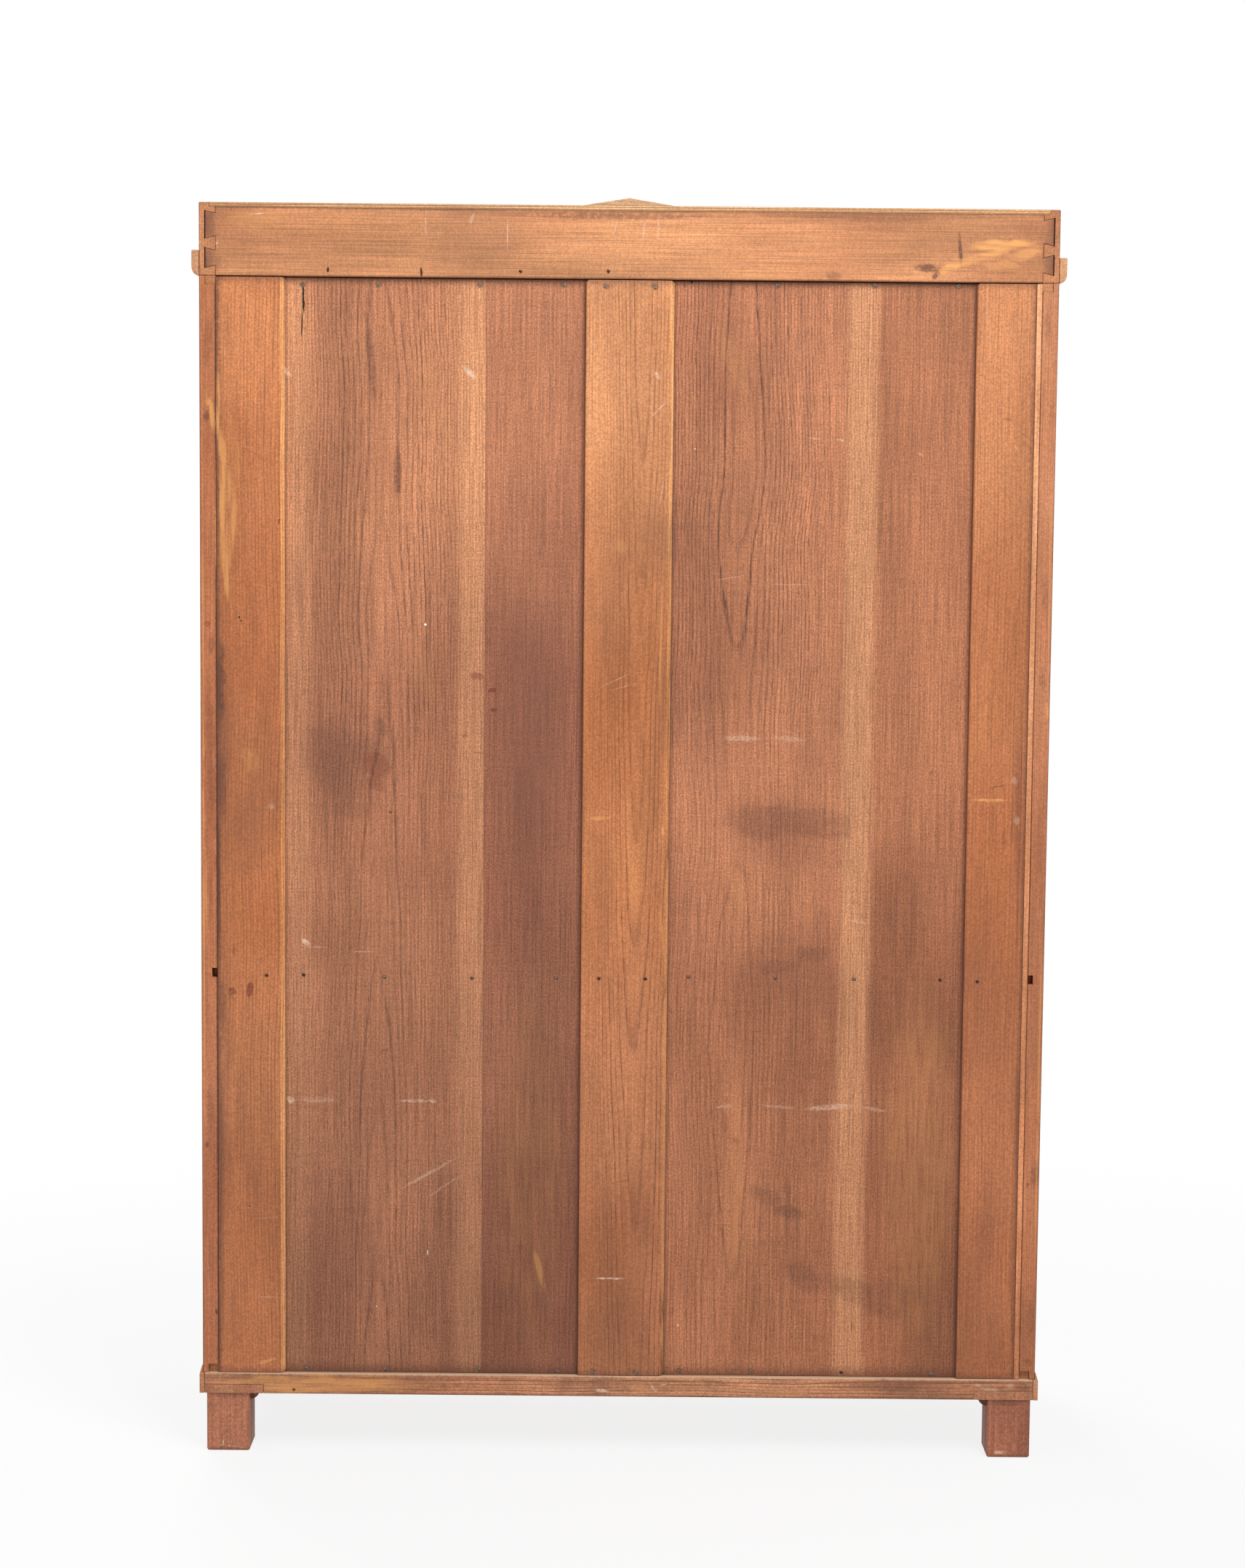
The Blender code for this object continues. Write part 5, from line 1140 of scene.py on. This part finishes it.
# screws of the lock case and the slide bolts' plates, pins of the escutcheon
plateScrewLook = {
    "radius": 0.0019, "slot": 0.0006, "depth": 0.0004, "rim": 0.0001, "dome": 0.0002, "sink": 0.0008,
    "seed": 11, "caseInset": 0.005, "fromMiddle": 0.0082, "fromEnd": 0.0195, "plateFace": -0.1492,
}
caseLow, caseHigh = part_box("lock_case")
inset = plateScrewLook["caseInset"]
caseSpots = [
    (x, caseHigh.y, z)
    for x in (caseLow.x + inset, caseHigh.x - inset)
    for z in (caseLow.z + inset, caseHigh.z - inset)
]
heads("lockCaseScrews", caseSpots, (0, 1, 0), plateScrewLook, screwSteel, "right_door")
plateSpots = []
for name in ("top_bolt_guide", "bottom_bolt_guide"):
    low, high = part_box(name)
    middle = (low.x + high.x) / 2
    for across in (-plateScrewLook["fromMiddle"], plateScrewLook["fromMiddle"]):
        for level in (low.z + plateScrewLook["fromEnd"], high.z - plateScrewLook["fromEnd"]):
            plateSpots.append((middle + across, plateScrewLook["plateFace"], level))
heads("boltPlateScrews", plateSpots, (0, 1, 0), plateScrewLook, brass, "left_door")
pinLook = {
    "radius": 0.0011, "slot": 0.0002, "depth": 0.0, "rim": 0.0001, "dome": 0.0005, "sink": 0.0008,
    "seed": 13, "fromEnd": 0.0025,
}
plateLow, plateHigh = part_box("key_escutcheon")
pinSpots = [
    ((plateLow.x + plateHigh.x) / 2, plateLow.y, z)
    for z in (plateLow.z + pinLook["fromEnd"], plateHigh.z - pinLook["fromEnd"])
]
heads("escutcheonPins", pinSpots, (0, -1, 0), pinLook, brass, "right_door")

# screws of the shelf cleats
cleatScrewLook = {
    "radius": 0.0034, "slot": 0.0010, "depth": 0.0007, "rim": 0.0001, "dome": 0.0003, "sink": 0.001,
    "seed": 17, "depthsIn": (-0.075, 0.035, 0.150),
}
for side, sign in sides.items():
    low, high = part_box(f"{side}_shelf_cleat")
    face = high.x if sign < 0 else low.x
    spots = [(face, y, (low.z + high.z) / 2) for y in cleatScrewLook["depthsIn"]]
    heads(f"{side}CleatScrews", spots, (-sign, 0, 0), cleatScrewLook, screwSteel, "carcass")

# nails round the edge of the crown's top panel
topNailLook = {
    "radius": 0.0018, "slot": 0.0003, "depth": 0.0, "rim": 0.00005, "dome": 0.0002, "sink": 0.001,
    "seed": 19, "alongX": 7, "alongY": 3,
    "fromEndX": 0.05, "fromEndY": 0.08, "insetX": 0.004, "insetY": 0.010,
}
low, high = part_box("crown_top_panel")
insetX, insetY = topNailLook["insetX"], topNailLook["insetY"]
rowX = np.linspace(low.x + topNailLook["fromEndX"], high.x - topNailLook["fromEndX"], topNailLook["alongX"])
rowY = np.linspace(low.y + topNailLook["fromEndY"], high.y - topNailLook["fromEndY"], topNailLook["alongY"])
topSpots = [(x, y, high.z) for y in (high.y - insetY, low.y + insetY) for x in rowX]
topSpots += [(x, y, high.z) for x in (low.x + insetX, high.x - insetX) for y in rowY]
heads("topPanelNails", topSpots, (0, 0, 1), topNailLook, steel, "carcass")
print("screws and nails set")

# glazing beads: a quarter-round slip behind each pane, mitred at the four corners
# its section is (in from the rebate's wall, back from the glass); a corner moves both ways at once
beadLook = {"wide": 0.0086, "deep": 0.0068, "flat": 0.0022, "steps": 7, "off": 0.0003, "play": 0.0007}
wide, deep, off, play = (beadLook[key] for key in ("wide", "deep", "off", "play"))
arc = np.linspace(0, math.pi / 2, beadLook["steps"])
radius = deep - beadLook["flat"]
curve = np.stack([wide - radius + radius * np.cos(arc), beadLook["flat"] + radius * np.sin(arc)], axis=1)
section = np.concatenate([[[0.0, off], [wide, off]], curve, [[0.0, deep]]])
for side in sides:
    low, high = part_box(f"{side}_door_glass")
    corners = np.array([
        (low.x - play, low.z - play, 1, 1), (high.x + play, low.z - play, -1, 1),
        (high.x + play, high.z + play, -1, -1), (low.x - play, high.z + play, 1, -1),
    ])
    x = corners[:, :1] + corners[:, 2:3] * section[None, :, 0]
    z = corners[:, 1:2] + corners[:, 3:] * section[None, :, 0]
    y = np.broadcast_to(high.y + section[None, :, 1], x.shape)
    loops = np.stack([x, y, z], axis=-1)[None]
    shellPiece(f"{side}GlazingBead", loops, uprightWood, f"{side}_door", loopsMeet=True)
print("glazing beads set")

# studio: pale floor, white all round, a large soft light high behind, a fill and one for the front
studioLook = {
    "ambient": 0.40, "floor": 0.80, "floorGlow": 0.84, "floorSize": 60.0, "shadow": (0.8, 2.4),
    "lights": {
        "keyLight": {"place": (-1.2, 2.4, 3.4), "aim": (0, 0.2, 1.1), "size": (1.6, 1.6), "power": 90},
        "fillLight": {"place": (2.8, 3.0, 1.9), "aim": (0, 0.2, 1.0), "size": (2.4, 2.4), "power": 28},
        "frontLight": {"place": (1.4, -3.3, 2.8), "aim": (0, -0.2, 0.9), "size": (2.4, 2.4), "power": 120},
    },
}
for name, look in studioLook["lights"].items():
    lamp = bpy.data.lights.new(name, "AREA")
    lamp.shape = "RECTANGLE"
    lamp.size, lamp.size_y = look["size"]
    lamp.energy = look["power"]
    stand = bpy.data.objects.new(name, lamp)
    aim = Vector(look["aim"]) - Vector(look["place"])
    turn = aim.to_track_quat("-Z", "Y").to_matrix().to_4x4()
    stand.matrix_world = Matrix.Translation(look["place"]) @ turn
    scene.collection.objects.link(stand)


# 1 for rays that show the background itself: straight, in a reflection or through glass
def shownRay(tree):
    rays = put(tree, "ShaderNodeLightPath").outputs
    seen = calc(tree, "MAXIMUM", rays["Is Camera Ray"], rays["Is Glossy Ray"])
    return calc(tree, "MAXIMUM", seen, rays["Is Transmission Ray"])


world = bpy.data.worlds.new("paleStudio")
world.use_nodes = True
scene.world = world
air = world.node_tree
ambient = studioLook["ambient"]
air.nodes["Background"].inputs["Color"].default_value = (1, 1, 1, 1)
level = calc(air, "MULTIPLY_ADD", shownRay(air), 1 - ambient, ambient)
air.links.new(level, air.nodes["Background"].inputs["Strength"])

half = studioLook["floorSize"] / 2
floorMesh = bpy.data.meshes.new("paleFloor")
floorCorners = [(-half, -half, 0), (half, -half, 0), (half, half, 0), (-half, half, 0)]
floorMesh.from_pydata(floorCorners, [], [(0, 1, 2, 3)])
floor = bpy.data.objects.new("paleFloor", floorMesh)
scene.collection.objects.link(floor)
floorFinish = bpy.data.materials.new("paleFloor")
floorFinish.use_nodes = True
ground = floorFinish.node_tree
ground.nodes.clear()
matt = put(ground, "ShaderNodeBsdfDiffuse", {"Color": (studioLook["floor"],) * 3})
glow = put(ground, "ShaderNodeEmission", {"Color": (1, 1, 1), "Strength": 1.0})
groundPlace = put(ground, "ShaderNodeTexCoord").outputs["Object"]
distance = put(ground, "ShaderNodeVectorMath", {0: groundPlace}, operation="LENGTH").outputs[1]
# matt near the cabinet, where its shadow falls
share = ramp(ground, distance, *studioLook["shadow"], studioLook["floorGlow"], 1.0)
share = calc(ground, "MULTIPLY", share, shownRay(ground))
both = put(ground, "ShaderNodeMixShader", {0: share, 1: matt.outputs[0], 2: glow.outputs[0]})
surface = put(ground, "ShaderNodeOutputMaterial")
ground.links.new(both.outputs[0], surface.inputs["Surface"])
floorMesh.materials.append(floorFinish)
print("studio set")
